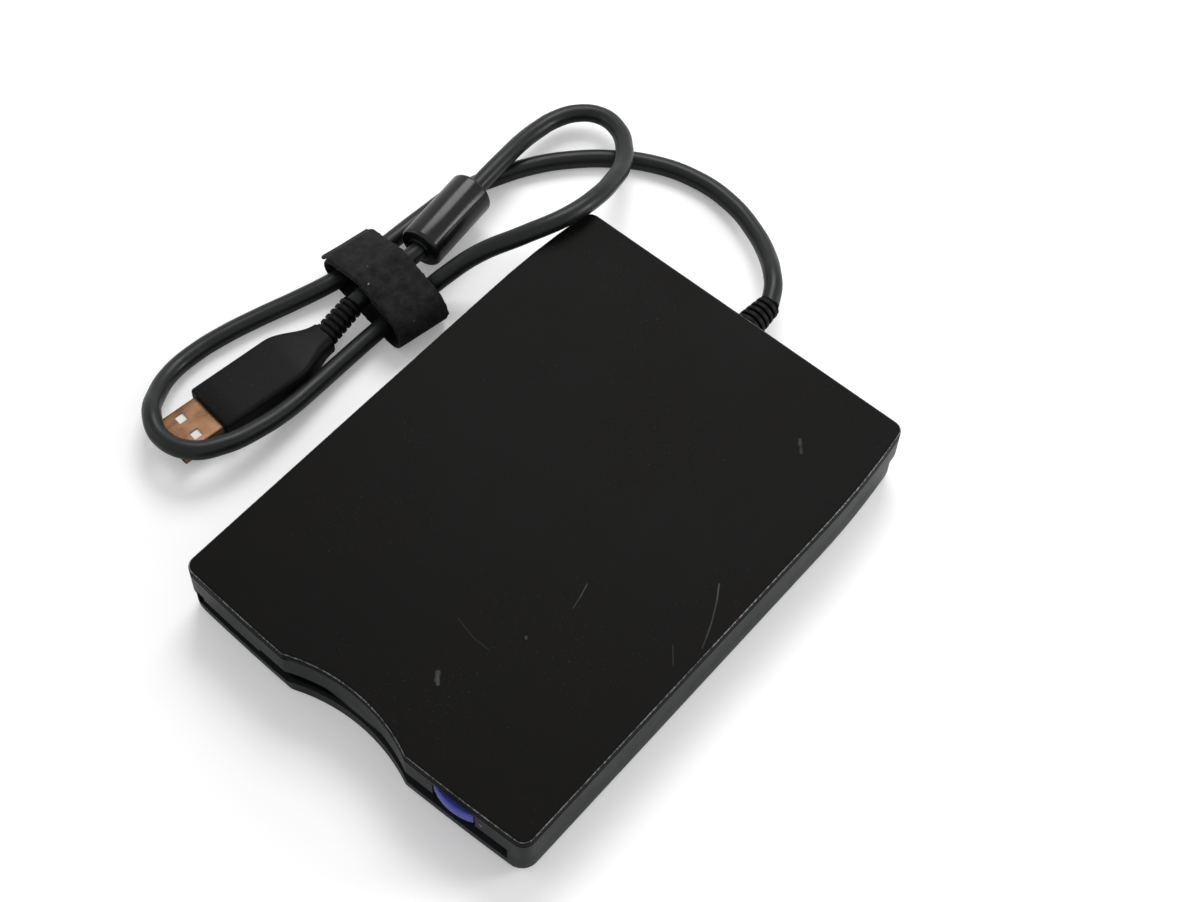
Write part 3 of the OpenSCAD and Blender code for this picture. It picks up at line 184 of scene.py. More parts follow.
def maths(nodes, links, kind, a, b):
    made = nodes.new("ShaderNodeMath")
    made.operation = kind
    for socket, given in zip(made.inputs, (a, b)):
        if isinstance(given, (int, float)):
            socket.default_value = given
        else:
            links.new(given, socket)
    return made.outputs["Value"]


def blended(nodes, links, share, a, b):
    """Colour a where share is 0 and b where it is 1."""
    made = nodes.new("ShaderNodeMix")
    made.data_type = "RGBA"
    if isinstance(share, (int, float)):
        made.inputs["Factor"].default_value = share
    else:
        links.new(share, made.inputs["Factor"])
    for label, given in (("A", a), ("B", b)):
        socket = [s for s in made.inputs if s.name == label and s.type == "RGBA"][0]
        if isinstance(given, tuple):
            socket.default_value = given
        else:
            links.new(given, socket)
    return [s for s in made.outputs if s.type == "RGBA"][0]


def moulded_group():
    """Moulded plastic or rubber: fine grain, cloudy shade, worn gloss and a little dust."""
    group = new_group("moulded_surface", [
        ("Vector", "NodeSocketVector", None),
        ("Colour", "NodeSocketColor", (0.05, 0.05, 0.05, 1)),
        ("Shade", "NodeSocketColor", (0.03, 0.03, 0.03, 1)),
        ("Dust Colour", "NodeSocketColor", (0.35, 0.34, 0.33, 1)),
        ("Grain Scale", "NodeSocketFloat", 3000.0),
        ("Cloud Scale", "NodeSocketFloat", 60.0),
        ("Roughness", "NodeSocketFloat", 0.5),
        ("Roughness Span", "NodeSocketFloat", 0.1),
        ("Dust", "NodeSocketFloat", 0.2),
    ], SURFACE_OUTPUTS)
    nodes, links, given, out = group_ends(group)
    grain = noise(nodes, links, given["Vector"], given["Grain Scale"], 2.0)
    cloud = noise(nodes, links, given["Vector"], given["Cloud Scale"], 5.0, 0.62)
    specks = noise(nodes, links, given["Vector"], 1900.0, 1.0, 0.3)
    patches = noise(nodes, links, given["Vector"], 45.0, 3.0)
    mixed = maths(nodes, links, "ADD", maths(nodes, links, "MULTIPLY", grain, 0.4),
                  maths(nodes, links, "MULTIPLY", cloud, 0.6))
    toned = blended(nodes, links, spread(nodes, links, mixed, 0.38, 0.62), given["Shade"], given["Colour"])
    dusty = maths(nodes, links, "MULTIPLY", spread(nodes, links, specks, 0.7, 0.8),
                  spread(nodes, links, patches, 0.45, 0.6))
    dusty = maths(nodes, links, "MULTIPLY", dusty, given["Dust"])
    links.new(blended(nodes, links, dusty, toned, given["Dust Colour"]), out["Colour"])
    low = maths(nodes, links, "SUBTRACT", given["Roughness"], given["Roughness Span"])
    high = maths(nodes, links, "ADD", given["Roughness"], given["Roughness Span"])
    links.new(spread(nodes, links, cloud, 0.3, 0.7, low, high), out["Roughness"])
    links.new(grain, out["Height"])
    return group


def rolled_group():
    """Rolled or turned metal: fine lines along one axis, stains and small scuffs."""
    group = new_group("rolled_metal", [
        ("Vector", "NodeSocketVector", None),
        ("Colour", "NodeSocketColor", (0.5, 0.5, 0.5, 1)),
        ("Shade", "NodeSocketColor", (0.35, 0.35, 0.35, 1)),
        ("Line Scale", "NodeSocketFloat", 900.0),
        ("Roughness", "NodeSocketFloat", 0.35),
        ("Roughness Span", "NodeSocketFloat", 0.1),
    ], SURFACE_OUTPUTS)
    nodes, links, given, out = group_ends(group)
    drawn = nodes.new("ShaderNodeMapping")
    drawn.inputs["Scale"].default_value = (1.0, 0.04, 1.0)
    links.new(given["Vector"], drawn.inputs["Vector"])
    lines = noise(nodes, links, drawn.outputs["Vector"], given["Line Scale"], 4.0, 0.7)
    stains = noise(nodes, links, given["Vector"], 130.0, 4.0)
    mixed = maths(nodes, links, "MULTIPLY", maths(nodes, links, "ADD", lines, stains), 0.5)
    toned = spread(nodes, links, mixed, 0.35, 0.65)
    links.new(blended(nodes, links, toned, given["Shade"], given["Colour"]), out["Colour"])
    low = maths(nodes, links, "SUBTRACT", given["Roughness"], given["Roughness Span"])
    high = maths(nodes, links, "ADD", given["Roughness"], given["Roughness Span"])
    links.new(spread(nodes, links, mixed, 0.3, 0.7, low, high), out["Roughness"])
    links.new(lines, out["Height"])
    return group


def board_group():
    """Lacquered circuit board: copper tracks under green lacquer and rows of soldered holes."""
    group = new_group("board_lacquer", [
        ("Vector", "NodeSocketVector", None),
        ("Lacquer", "NodeSocketColor", (0.02, 0.12, 0.05, 1)),
        ("Track", "NodeSocketColor", (0.05, 0.25, 0.1, 1)),
        ("Solder", "NodeSocketColor", (0.55, 0.55, 0.52, 1)),
    ], SURFACE_OUTPUTS)
    nodes, links, given, out = group_ends(group)
    tracks = nodes.new("ShaderNodeTexBrick")
    links.new(given["Vector"], tracks.inputs["Vector"])
    tracks.inputs["Scale"].default_value = 260.0
    tracks.inputs["Mortar Size"].default_value = 0.07
    tracks.inputs["Mortar Smooth"].default_value = 0.2
    tracks.inputs["Brick Width"].default_value = 1.3
    tracks.inputs["Row Height"].default_value = 0.35
    holes = nodes.new("ShaderNodeTexVoronoi")
    holes.inputs["Scale"].default_value = 420.0
    holes.inputs["Randomness"].default_value = 0.6
    links.new(given["Vector"], holes.inputs["Vector"])
    toned = blended(nodes, links, tracks.outputs["Fac"], given["Lacquer"], given["Track"])
    dots = spread(nodes, links, holes.outputs["Distance"], 0.12, 0.16, 1.0, 0.0)
    links.new(blended(nodes, links, dots, toned, given["Solder"]), out["Colour"])
    fine = noise(nodes, links, given["Vector"], 900.0)
    links.new(spread(nodes, links, fine, 0.3, 0.7, 0.25, 0.4), out["Roughness"])
    links.new(maths(nodes, links, "ADD", tracks.outputs["Fac"], dots), out["Height"])
    return group


def woven_group():
    """Brushed loop tape: a nap of fine fibres, felted clumps and caught lint."""
    group = new_group("brushed_tape", [
        ("Vector", "NodeSocketVector", None),
        ("Colour", "NodeSocketColor", (0.022, 0.020, 0.020, 1)),
        ("Shade", "NodeSocketColor", (0.005, 0.005, 0.005, 1)),
        ("Lint", "NodeSocketColor", (0.30, 0.28, 0.26, 1)),
    ], SURFACE_OUTPUTS)
    nodes, links, given, out = group_ends(group)
    nap = noise(nodes, links, given["Vector"], 2600.0, 6.0, 0.75)
    clumps = noise(nodes, links, given["Vector"], 420.0, 3.0)
    specks = noise(nodes, links, given["Vector"], 760.0, 1.0, 0.2)
    mixed = maths(nodes, links, "MULTIPLY", maths(nodes, links, "ADD", nap, clumps), 0.5)
    toned = blended(nodes, links, spread(nodes, links, mixed, 0.4, 0.62), given["Shade"], given["Colour"])
    lint = spread(nodes, links, specks, 0.79, 0.83, 0.0, 0.7)
    links.new(blended(nodes, links, lint, toned, given["Lint"]), out["Colour"])
    links.new(spread(nodes, links, nap, 0.3, 0.7, 0.8, 1.0), out["Roughness"])
    links.new(mixed, out["Height"])
    return group


def mark_group():
    """How close a point is to a worn line between two points of the plate, as a broken mask."""
    group = new_group("worn_line", [
        ("Vector", "NodeSocketVector", None),
        ("From", "NodeSocketVector", (0, 0, 0)),
        ("To", "NodeSocketVector", (0, 0, 0)),
        ("Width", "NodeSocketFloat", 0.0003),
        ("Strength", "NodeSocketFloat", 0.5),
    ], [("Mask", "NodeSocketFloat")])
    nodes, links, given, out = group_ends(group)

    def vector_maths(kind, a, b, result="Vector"):
        made = nodes.new("ShaderNodeVectorMath")
        made.operation = kind
        links.new(a, made.inputs[0])
        if kind == "SCALE":
            links.new(b, made.inputs["Scale"])
        elif b is not None:
            links.new(b, made.inputs[1])
        return made.outputs[result]

    reach = vector_maths("SUBTRACT", given["To"], given["From"])
    away = vector_maths("SUBTRACT", given["Vector"], given["From"])
    along = maths(nodes, links, "DIVIDE", vector_maths("DOT_PRODUCT", away, reach, "Value"),
                  vector_maths("DOT_PRODUCT", reach, reach, "Value"))
    held = spread(nodes, links, along, 0.0, 1.0)
    nearest = vector_maths("SCALE", reach, held)
    gap = vector_maths("LENGTH", vector_maths("SUBTRACT", away, nearest), None, "Value")
    worn = noise(nodes, links, given["Vector"], 1500.0, 3.0, 0.7)
    wide = maths(nodes, links, "MULTIPLY", given["Width"], maths(nodes, links, "ADD", worn, 0.5))
    mask = spread(nodes, links, maths(nodes, links, "DIVIDE", gap, wide), 0.4, 1.0, 1.0, 0.0)
    links.new(maths(nodes, links, "MULTIPLY", mask, given["Strength"]), out["Mask"])
    return group


def rim_highlight_group():
    """Where a rounded upper rim turns over: a painted highlight in a thin broken line, partly rubbed wear.
    """
    group = new_group("rim_highlight_and_rubbing", [
        ("Vector", "NodeSocketVector", None),
        ("Facing", "NodeSocketVector", None),
    ], [("Mask", "NodeSocketFloat")])
    nodes, links, given, out = group_ends(group)
    parts = nodes.new("ShaderNodeSeparateXYZ")
    links.new(given["Facing"], parts.inputs["Vector"])
    opened = spread(nodes, links, parts.outputs["Z"], 0.5, 0.68)
    closed = spread(nodes, links, parts.outputs["Z"], 0.78, 0.92, 1.0, 0.0)
    fine = spread(nodes, links, noise(nodes, links, given["Vector"], 1700.0, 2.0), 0.4, 0.62, 0.2, 1.0)
    patchy = spread(nodes, links, noise(nodes, links, given["Vector"], 70.0, 3.0), 0.35, 0.65, 0.45, 1.0)
    worn = maths(nodes, links, "MULTIPLY", fine, patchy)
    ring = maths(nodes, links, "MULTIPLY", opened, closed)
    links.new(maths(nodes, links, "MULTIPLY", ring, worn), out["Mask"])
    return group


GROUPS = {
    "rim": rim_highlight_group(),
    "moulded": moulded_group(),
    "rolled": rolled_group(),
    "board": board_group(),
    "woven": woven_group(),
    "mark": mark_group(),
}


def rgb(r, g, b):
    return (r, g, b, 1.0)


def new_material(name, kind, values, bump, distance, constants):
    """A material with one surface group, a bump and constant values on the shader's own sockets."""
    made = bpy.data.materials.new(name)
    made.use_nodes = True
    nodes, links = made.node_tree.nodes, made.node_tree.links
    shader = nodes["Principled BSDF"]
    place = nodes.new("ShaderNodeTexCoord")
    surface = nodes.new("ShaderNodeGroup")
    surface.node_tree = GROUPS[kind]
    links.new(place.outputs["Object"], surface.inputs["Vector"])
    for label, value in values.items():
        surface.inputs[label].default_value = value
    links.new(surface.outputs["Colour"], shader.inputs["Base Color"])
    links.new(surface.outputs["Roughness"], shader.inputs["Roughness"])
    relief = nodes.new("ShaderNodeBump")
    relief.inputs["Strength"].default_value = bump
    relief.inputs["Distance"].default_value = distance
    links.new(surface.outputs["Height"], relief.inputs["Height"])
    links.new(relief.outputs["Normal"], shader.inputs["Normal"])
    for label, value in constants.items():
        shader.inputs[label].default_value = value
    return made


def moulded(name, colour, shade, roughness, span=0.08, grain=3000.0, cloud=60.0, dust=0.15,
            bump=0.25, distance=0.00006, gloss=0.5, **constants):
    values = {"Colour": rgb(*colour), "Shade": rgb(*shade), "Grain Scale": grain, "Cloud Scale": cloud,
              "Roughness": roughness, "Roughness Span": span, "Dust": dust}
    return new_material(name, "moulded", values, bump, distance, {"Specular IOR Level": gloss, **constants})


def rolled(name, colour, shade, roughness, span=0.1, lines=900.0, bump=0.15):
    values = {"Colour": rgb(*colour), "Shade": rgb(*shade), "Line Scale": lines, "Roughness": roughness,
              "Roughness Span": span}
    return new_material(name, "rolled", values, bump, 0.00004, {"Metallic": 1.0})


# Marks on the top plate: ends in millimetres, width and strength
PLATE_MARKS = [
    ((42.5, 8.5), (44.7, 5.0), 0.26, 0.55), ((44.7, 5.0), (47.3, -0.1), 0.22, 0.38),
    ((47.3, -0.1), (48.9, -4.1), 0.22, 0.42), ((48.9, -4.1), (49.8, -6.6), 0.18, 0.3),
    ((20.1, -11.2), (21.1, -14.8), 0.22, 0.4), ((21.1, -14.8), (21.7, -17.9), 0.18, 0.3),
    ((9.8, -49.5), (11.0, -51.2), 0.7, 0.42), ((10.6, -50.4), (11.8, -51.7), 0.5, 0.5),
    ((32.6, 51.3), (33.5, 50.2), 0.55, 0.34), ((34.2, 49.6), (35.0, 48.6), 0.5, 0.28),
    ((18.6, -30.3), (18.9, -30.6), 0.4, 0.4),
    ((4.1, -36.8), (9.8, -38.1), 0.12, 0.2), ((9.8, -38.1), (14.6, -38.1), 0.12, 0.2),
    ((44.4, -10.3), (47.6, -14.1), 0.14, 0.26),
]


def plate_material():
    """The top plate's matte black, with its scuffs and scratches and a painted highlight along its rim."""
    made = moulded("plate_black", (0.0062, 0.0057, 0.0052), (0.0046, 0.0042, 0.0040), 0.46, span=0.05,
                   grain=4200.0, cloud=35.0, dust=0.05, bump=0.22, gloss=0.035)
    nodes, links = made.node_tree.nodes, made.node_tree.links
    shader = nodes["Principled BSDF"]
    place = next(n for n in nodes if n.type == "TEX_COORD")
    mask = None
    for start, end, width, strength in PLATE_MARKS:
        line = nodes.new("ShaderNodeGroup")
        line.node_tree = GROUPS["mark"]
        links.new(place.outputs["Object"], line.inputs["Vector"])
        line.inputs["From"].default_value = (start[0] * MM, start[1] * MM, PLATE_TOP * MM)
        line.inputs["To"].default_value = (end[0] * MM, end[1] * MM, PLATE_TOP * MM)
        line.inputs["Width"].default_value = width * MM
        line.inputs["Strength"].default_value = strength
        drawn = line.outputs["Mask"]
        mask = drawn if mask is None else maths(nodes, links, "MAXIMUM", mask, drawn)
    under = shader.inputs["Base Color"].links[0].from_socket
    scuffed = blended(nodes, links, mask, under, rgb(0.10, 0.10, 0.10))
    # Painted highlight: bright grey along the rim's upper turn, standing in for light caught by the rounded
    # edge, partly rubbed wear.
    rim = nodes.new("ShaderNodeGroup")
    rim.node_tree = GROUPS["rim"]
    links.new(place.outputs["Object"], rim.inputs["Vector"])
    links.new(place.outputs["Normal"], rim.inputs["Facing"])
    links.new(blended(nodes, links, rim.outputs["Mask"], scuffed, rgb(0.31, 0.32, 0.33)),
              shader.inputs["Base Color"])
    return made


MATERIALS = {
    "plate_black": plate_material(),
    "case_grey": moulded("case_grey", (0.021, 0.023, 0.024), (0.015, 0.016, 0.017), 0.36, grain=3600.0,
                         dust=0.06, gloss=0.07),
    # A touch darker than case_grey: painted shade of the lower walls, which face downward into shade.
    "case_lower_grey": moulded("case_lower_grey", (0.020, 0.022, 0.023), (0.014, 0.015, 0.016), 0.38,
                               grain=3600.0, dust=0.06, gloss=0.07),
    "foot_rubber": moulded("foot_rubber", (0.02, 0.02, 0.021), (0.012, 0.012, 0.012), 0.8, dust=0.5,
                           gloss=0.3),
    "steel": rolled("steel", (0.55, 0.56, 0.57), (0.42, 0.43, 0.44), 0.28),
    "zinc_sheet": rolled("zinc_sheet", (0.50, 0.51, 0.52), (0.38, 0.39, 0.40), 0.38, lines=500.0),
    "flap_grey": moulded("flap_grey", (0.030, 0.031, 0.033), (0.02, 0.021, 0.022), 0.5),
    "button_violet": moulded("button_violet", (0.042, 0.050, 0.40), (0.032, 0.038, 0.33), 0.26, span=0.04,
                             dust=0.0, bump=0.08),
    "light_pipe": moulded("light_pipe", (0.10, 0.05, 0.16), (0.07, 0.03, 0.12), 0.2, dust=0.0, bump=0.05),
    "lamp": moulded("lamp", (0.75, 0.76, 0.80), (0.65, 0.66, 0.70), 0.25, dust=0.0, bump=0.05),
    "pale_plastic": moulded("pale_plastic", (0.72, 0.69, 0.61), (0.64, 0.61, 0.53), 0.45, dust=0.1),
    "board_green": new_material("board_green", "board", {}, 0.4, 0.00005, {"Coat Weight": 0.2}),
    "chip_black": moulded("chip_black", (0.022, 0.022, 0.024), (0.014, 0.014, 0.015), 0.55, dust=0.2),
    "copper": rolled("copper", (0.72, 0.36, 0.18), (0.55, 0.25, 0.12), 0.3, lines=2500.0, bump=0.5),
    "bronze": rolled("bronze", (0.62, 0.44, 0.20), (0.48, 0.33, 0.15), 0.34),
    "magnet": moulded("magnet", (0.05, 0.05, 0.052), (0.035, 0.035, 0.036), 0.4),
    "head_ceramic": moulded("head_ceramic", (0.06, 0.055, 0.05), (0.04, 0.038, 0.035), 0.15, dust=0.0,
                            bump=0.05),
    "flex_amber": moulded("flex_amber", (0.52, 0.26, 0.05), (0.42, 0.20, 0.04), 0.3, dust=0.0),
    "cable_black": moulded("cable_black", (0.0074, 0.0084, 0.0088), (0.0052, 0.006, 0.0063), 0.36,
                           span=0.07, grain=2600.0, cloud=150.0, dust=0.05, gloss=0.21),
    "ferrite_black": moulded("ferrite_black", (0.006, 0.0063, 0.0063), (0.004, 0.0043, 0.0043), 0.2,
                             span=0.05, grain=2200.0, cloud=200.0, dust=0.04, bump=0.1, gloss=0.26),
    "strap_black": new_material("strap_black", "woven", {}, 0.9, 0.00035, {"Specular IOR Level": 0.08,
                                "Sheen Weight": 0.06, "Sheen Roughness": 0.5}),
    "plug_black": moulded("plug_black", (0.0075, 0.0075, 0.0078), (0.005, 0.005, 0.0053), 0.42, span=0.06,
                          grain=2600.0, dust=0.08, gloss=0.06),
    # The shell's warm brown is a painted reflection of brown surroundings; the plated metal itself is pale.
    "shell_metal": rolled("shell_metal", (0.24, 0.135, 0.078), (0.10, 0.048, 0.025), 0.3, lines=260.0,
                          bump=0.05),
    "tongue_white": moulded("tongue_white", (0.82, 0.82, 0.80), (0.76, 0.76, 0.74), 0.35, dust=0.0,
                            bump=0.05),
    "gold": rolled("gold", (0.85, 0.62, 0.25), (0.7, 0.48, 0.18), 0.25),
}

# Mesh helpers; sizes inside them are millimetres

MERGE_GAP = 0.0005
LEAST_SIDE = 1e-6


def add_piece(name, bm, body, slot, nodes=(), sharp=28.0):
    """Turns a bmesh in millimetres into a piece of the object, in metres."""
    bmesh.ops.remove_doubles(bm, verts=bm.verts, dist=MERGE_GAP)
    bmesh.ops.recalc_face_normals(bm, faces=bm.faces)
    for face in bm.faces:
        face.smooth = True
    limit = math.radians(sharp)
    for edge in bm.edges:
        edge.smooth = len(edge.link_faces) == 2 and edge.calc_face_angle(0.0) < limit
    bmesh.ops.scale(bm, vec=(MM, MM, MM), verts=bm.verts)
    mesh = bpy.data.meshes.new(name)
    bm.to_mesh(mesh)
    bm.free()
    made = bpy.data.objects.new(name, mesh)
    bpy.context.scene.collection.objects.link(made)
    return finish_piece(made, body, slot, nodes)


def finish_piece(made, body, slot, nodes=()):
    made.data.materials.clear()
    made.data.materials.append(MATERIALS[slot])
    if nodes:
        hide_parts(*nodes)
    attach(made, body)
    return made


def ring_faces(bm, a, b):
    """Side faces between two closed rings of vertices of one length."""
    count = len(a)
    for i in range(count):
        j = (i + 1) % count
        bm.faces.new((a[i], a[j], b[j], b[i]))


def loft(bm, rings, caps=True):
    """A skin through closed rings of points, with a flat cap at each end."""
    made = [[bm.verts.new(p) for p in ring] for ring in rings]
    for a, b in zip(made, made[1:]):
        ring_faces(bm, a, b)
    if caps:
        bm.faces.new(list(reversed(made[0])))
        bm.faces.new(made[-1])
    return made


def moved_in(points, distance):
    """A closed outline, anticlockwise, moved inwards by mitres."""
    count = len(points)
    out = []
    for i, p in enumerate(points):
        before = (Vector(p) - Vector(points[i - 1])).normalized()
        after = (Vector(points[(i + 1) % count]) - Vector(p)).normalized()
        n0 = Vector((-before.y, before.x))
        n1 = Vector((-after.y, after.x))
        out.append(Vector(p) + (n0 + n1) * (distance / (1 + n0.dot(n1))))
    return out


def rounded_profile(low, high, r_low, r_high, steps, support):
    """Pairs of inset and height for a slab with rounded edges and a flat rim inside each."""
    out = [(r_low + support, low)]
    for i in range(steps + 1):
        a = math.pi / 2 * i / steps
        out.append((r_low * (1 - math.sin(a)), low + r_low * (1 - math.cos(a))))
    for i in range(steps + 1):
        a = math.pi / 2 * i / steps
        out.append((r_high * (1 - math.cos(a)), high - r_high * (1 - math.sin(a))))
    out.append((r_high + support, high))
    return out


def slab(bm, outline, profile):
    """A slab over an outline, by its profile of insets and heights."""
    return loft(bm, [[(p.x, p.y, z) for p in moved_in(outline, inset)] for inset, z in profile])


def frame_along(direction):
    """Two directions square to a given one."""
    side = direction.cross(UP)
    if side.length < LEAST_SIDE:
        side = Vector((1, 0, 0))
    side.normalize()
    return side, side.cross(direction).normalized()


def turned(bm, start, end, profile, sides=48):
    """A turned solid along a line: profile is pairs of distance from the start and radius."""
    way = (end - start).normalized()
    side, top = frame_along(way)
    rings = []
    for along, r in profile:
        centre = start + way * along
        rings.append([centre + r * (math.cos(2 * math.pi * k / sides) * side
                                    + math.sin(2 * math.pi * k / sides) * top) for k in range(sides)])
    return loft(bm, rings)


# Outline of the housing in plan

NO_SCOOP = -1000.0
HALVINGS = 50


def half_at(y):
    past = max(0.0, y - (BACK_Y - TAPER_LEN))
    return HALF_W - REAR_TAPER * (past / TAPER_LEN) ** 2


def front_at(x):
    return CORNER_Y - FRONT_BOW * (1 - (x / HALF_W) ** 2)


def scoop_at(x):
    """Depth of the thumb scoop's wall at x, or far in front beside the scoop."""
    across = SCOOP_R ** 2 - (x - SCOOP_X) ** 2
    if across <= 0:
        return NO_SCOOP
    return SCOOP_Y - SCOOP_R + math.sqrt(across)


def scoop_end(side):
    """Where the scoop meets the front on one side, by halving."""
    near, far = SCOOP_X, SCOOP_X + side * SCOOP_R / 2
    for _ in range(HALVINGS):
        middle = (near + far) / 2
        if scoop_at(middle) > front_at(middle):
            near = middle
        else:
            far = middle
    return near


def plan_outline(front_r, rear_r, corner_steps=12, side_steps=16, front_steps=14, scoop_steps=36):
    """Anticlockwise outline of the housing with its thumb scoop."""
    corner_x = HALF_W - front_r
    start_y = front_at(corner_x) + front_r
    lean = math.atan(2 * REAR_TAPER / TAPER_LEN)
    rear_y = BACK_Y - rear_r
    rear_start = rear_y + rear_r * math.sin(lean)
    rear_x = half_at(rear_start) - rear_r * math.cos(lean)
    left_end, right_end = scoop_end(-1), scoop_end(1)
    out = []
    for i in range(front_steps):
        x = -corner_x + (left_end + corner_x) * i / front_steps
        out.append((x, front_at(x)))
    for i in range(scoop_steps + 1):
        x = left_end + (right_end - left_end) * i / scoop_steps
        out.append((x, scoop_at(x)))
    for i in range(1, front_steps + 1):
        x = right_end + (corner_x - right_end) * i / front_steps
        out.append((x, front_at(x)))
    right = []
    for i in range(1, corner_steps + 1):
        a = math.pi / 2 * i / corner_steps - math.pi / 2
        right.append((corner_x + front_r * math.cos(a), start_y + front_r * math.sin(a)))
    for i in range(1, side_steps):
        y = start_y + (rear_start - start_y) * i / side_steps
        right.append((half_at(y), y))
    for i in range(corner_steps + 1):
        a = lean + (math.pi / 2 - lean) * i / corner_steps
        right.append((rear_x + rear_r * math.cos(a), rear_y + rear_r * math.sin(a)))
    out += right
    out += [(-x, y) for x, y in reversed(right)]
    return [Vector(p) for p in out]


# Pieces

CORD_STEPS = 8
CORD_ROUND = 6


def make_cord():
    """One smooth cord from the gland, through the ferrite core and the strap, to the plug."""
    data = bpy.data.curves.new("cord", "CURVE")
    data.dimensions = "3D"
    data.resolution_u = CORD_STEPS
    data.bevel_depth = CORD_D / 2 * MM
    data.bevel_resolution = CORD_ROUND
    data.use_fill_caps = True
    line = data.splines.new("BEZIER")
    line.bezier_points.add(len(CORD_ROUTE) - 1)
    for point, at in zip(line.bezier_points, CORD_ROUTE):
        point.co = Vector(at) * MM
        point.handle_left_type = "AUTO"
        point.handle_right_type = "AUTO"
    made = bpy.data.objects.new("cord", data)
    bpy.context.scene.collection.objects.link(made)
    return finish_piece(made, "housing", "cable_black", ["cord_main", "cord_plug_end"])


def make_top_plate():
    bm = bmesh.new()
    profile = rounded_profile(PLATE_LOW, PLATE_TOP, PLATE_LOW_R, PLATE_EDGE_R, EDGE_STEPS, PLATE_RIM)
    slab(bm, plan_outline(PLATE_CORNER_R, PLATE_CORNER_R), profile)
    return add_piece("top_plate_shell", bm, "housing", "plate_black", ["top_plate"], sharp=16.0)


def eased_copy(name, node, body, slot, sharp=28.0):
    """A merged copy of a CAD node, smooth over its small facets."""
    bm = bmesh.new()
    bm.from_mesh(frame["nodes"][node].data)
    bmesh.ops.scale(bm, vec=(1 / MM, 1 / MM, 1 / MM), verts=bm.verts)
    bmesh.ops.remove_doubles(bm, verts=bm.verts, dist=MERGE_GAP)
    return add_piece(name, bm, body, slot, [node], sharp)


BUTTON_X = 31.75
BUTTON_W = 11.5
BUTTON_OUT = 2.0
BUTTON_BACK = -64.8886
BUTTON_LOW = 9.5
BUTTON_HIGH = 14.0
# How far the cap shows, its least depth at the sides, its rounded edges and where its sides stop
BUTTON_SHOWN = 1.3
BUTTON_SIDE = 1.3
BUTTON_LOW_R = 2.0
BUTTON_HIGH_R = 0.5
BUTTON_RIM = 0.1
BUTTON_SIDE_INSET = 0.4
BUTTON_STEPS = 28


def make_button():
    """Eject button: a lens in plan, rounded under far more than on top."""
    half = BUTTON_W / 2
    r = (half ** 2 + BUTTON_SHOWN ** 2) / (2 * BUTTON_SHOWN)
    front_y = -BACK_Y + BUTTON_OUT - BUTTON_SHOWN
    bm = bmesh.new()
    rings = []
    profile = rounded_profile(BUTTON_LOW, BUTTON_HIGH, BUTTON_LOW_R, BUTTON_HIGH_R, EDGE_STEPS, BUTTON_RIM)
    for inset, z in profile:
        inner = half - min(inset, BUTTON_SIDE_INSET)
        ring = []
        for i in range(BUTTON_STEPS + 1):
            x = -inner + 2 * inner * i / BUTTON_STEPS
            y = min(front_y + r - math.sqrt(r * r - x * x) + inset, BUTTON_BACK - BUTTON_SIDE)
            ring.append((BUTTON_X + x, y, z))
        ring += [(BUTTON_X + inner, BUTTON_BACK, z), (BUTTON_X - inner, BUTTON_BACK, z)]
        rings.append(ring)
    loft(bm, rings)
    return add_piece("eject_button_cap", bm, "eject_button", "button_violet", ["eject_button"], sharp=32.0)


RIB_SHARE = 0.62
RIB_STEPS = 5
RIB_SWELL = 1.6
RIB_FOOT_SHARE = 0.8


def ribs(length, r0, r1, count, depth):
    """Profile of rounded ribs that taper from r0 to r1, with plain gaps between them."""
    out = []
    pitch = length / count
    for i in range(count):
        start = pitch * i
        r = r0 + (r1 - r0) * (i + 0.5) / count
        gap = pitch * (1 - RIB_SHARE) / 2
        out.append((start, r - depth))
        out.append((start + gap * RIB_FOOT_SHARE, r - depth))
        for k in range(RIB_STEPS + 1):
            a = math.pi * k / RIB_STEPS
            swell = min(1.0, RIB_SWELL * math.sin(a))
            along = start + gap + pitch * RIB_SHARE * (1 - math.cos(a)) / 2
            out.append((along, r - depth * (1 - swell)))
        out.append((start + pitch - gap * RIB_FOOT_SHARE, r - depth))
    return out


GLAND_Z = 9.5
GLAND_TIP = 82.5114
WALL = 1.6
FLANGE_R = 4.4
FLANGE_EDGE = 0.1
NECK_R = 3.0
# Profiles outside the wall: distance from it and radius
COLLAR = ((0, 4.0), (0.25, 4.2), (1.7, 4.2), (1.95, 4.05))
SLEEVE_AT = 2.0
SLEEVE_LEN = 9.4
SLEEVE_R = 4.1
SLEEVE_TIP_R = 3.15
SLEEVE_RIBS = 5
SLEEVE_DEPTH = 0.75
SLEEVE_TIP = ((11.7, 3.0), (11.8, 2.8), (11.8, BORE_R))


def make_gland():
    """Cable gland: a flange and neck in the wall, a round collar and tapering ribs outside."""
    start = Vector((0, BACK_Y - 2 * WALL, GLAND_Z))
    end = Vector((0, GLAND_TIP, GLAND_Z))
    eased = FLANGE_R - FLANGE_EDGE
    profile = [(0, CORD_D / 2), (0, eased), (FLANGE_EDGE, FLANGE_R)]
    profile += [(WALL - FLANGE_EDGE, FLANGE_R), (WALL, eased), (WALL, NECK_R), (2 * WALL, NECK_R)]
    outside = list(COLLAR)
    for t, r in ribs(SLEEVE_LEN, SLEEVE_R, SLEEVE_TIP_R, SLEEVE_RIBS, SLEEVE_DEPTH):
        outside.append((SLEEVE_AT + t, r))
    outside += SLEEVE_TIP
    profile += [(2 * WALL + t, r) for t, r in outside]
    bm = bmesh.new()
    turned(bm, start, end, profile)
    return add_piece("cable_gland_sleeve", bm, "housing", "plug_black", ["cable_gland"], sharp=50.0)


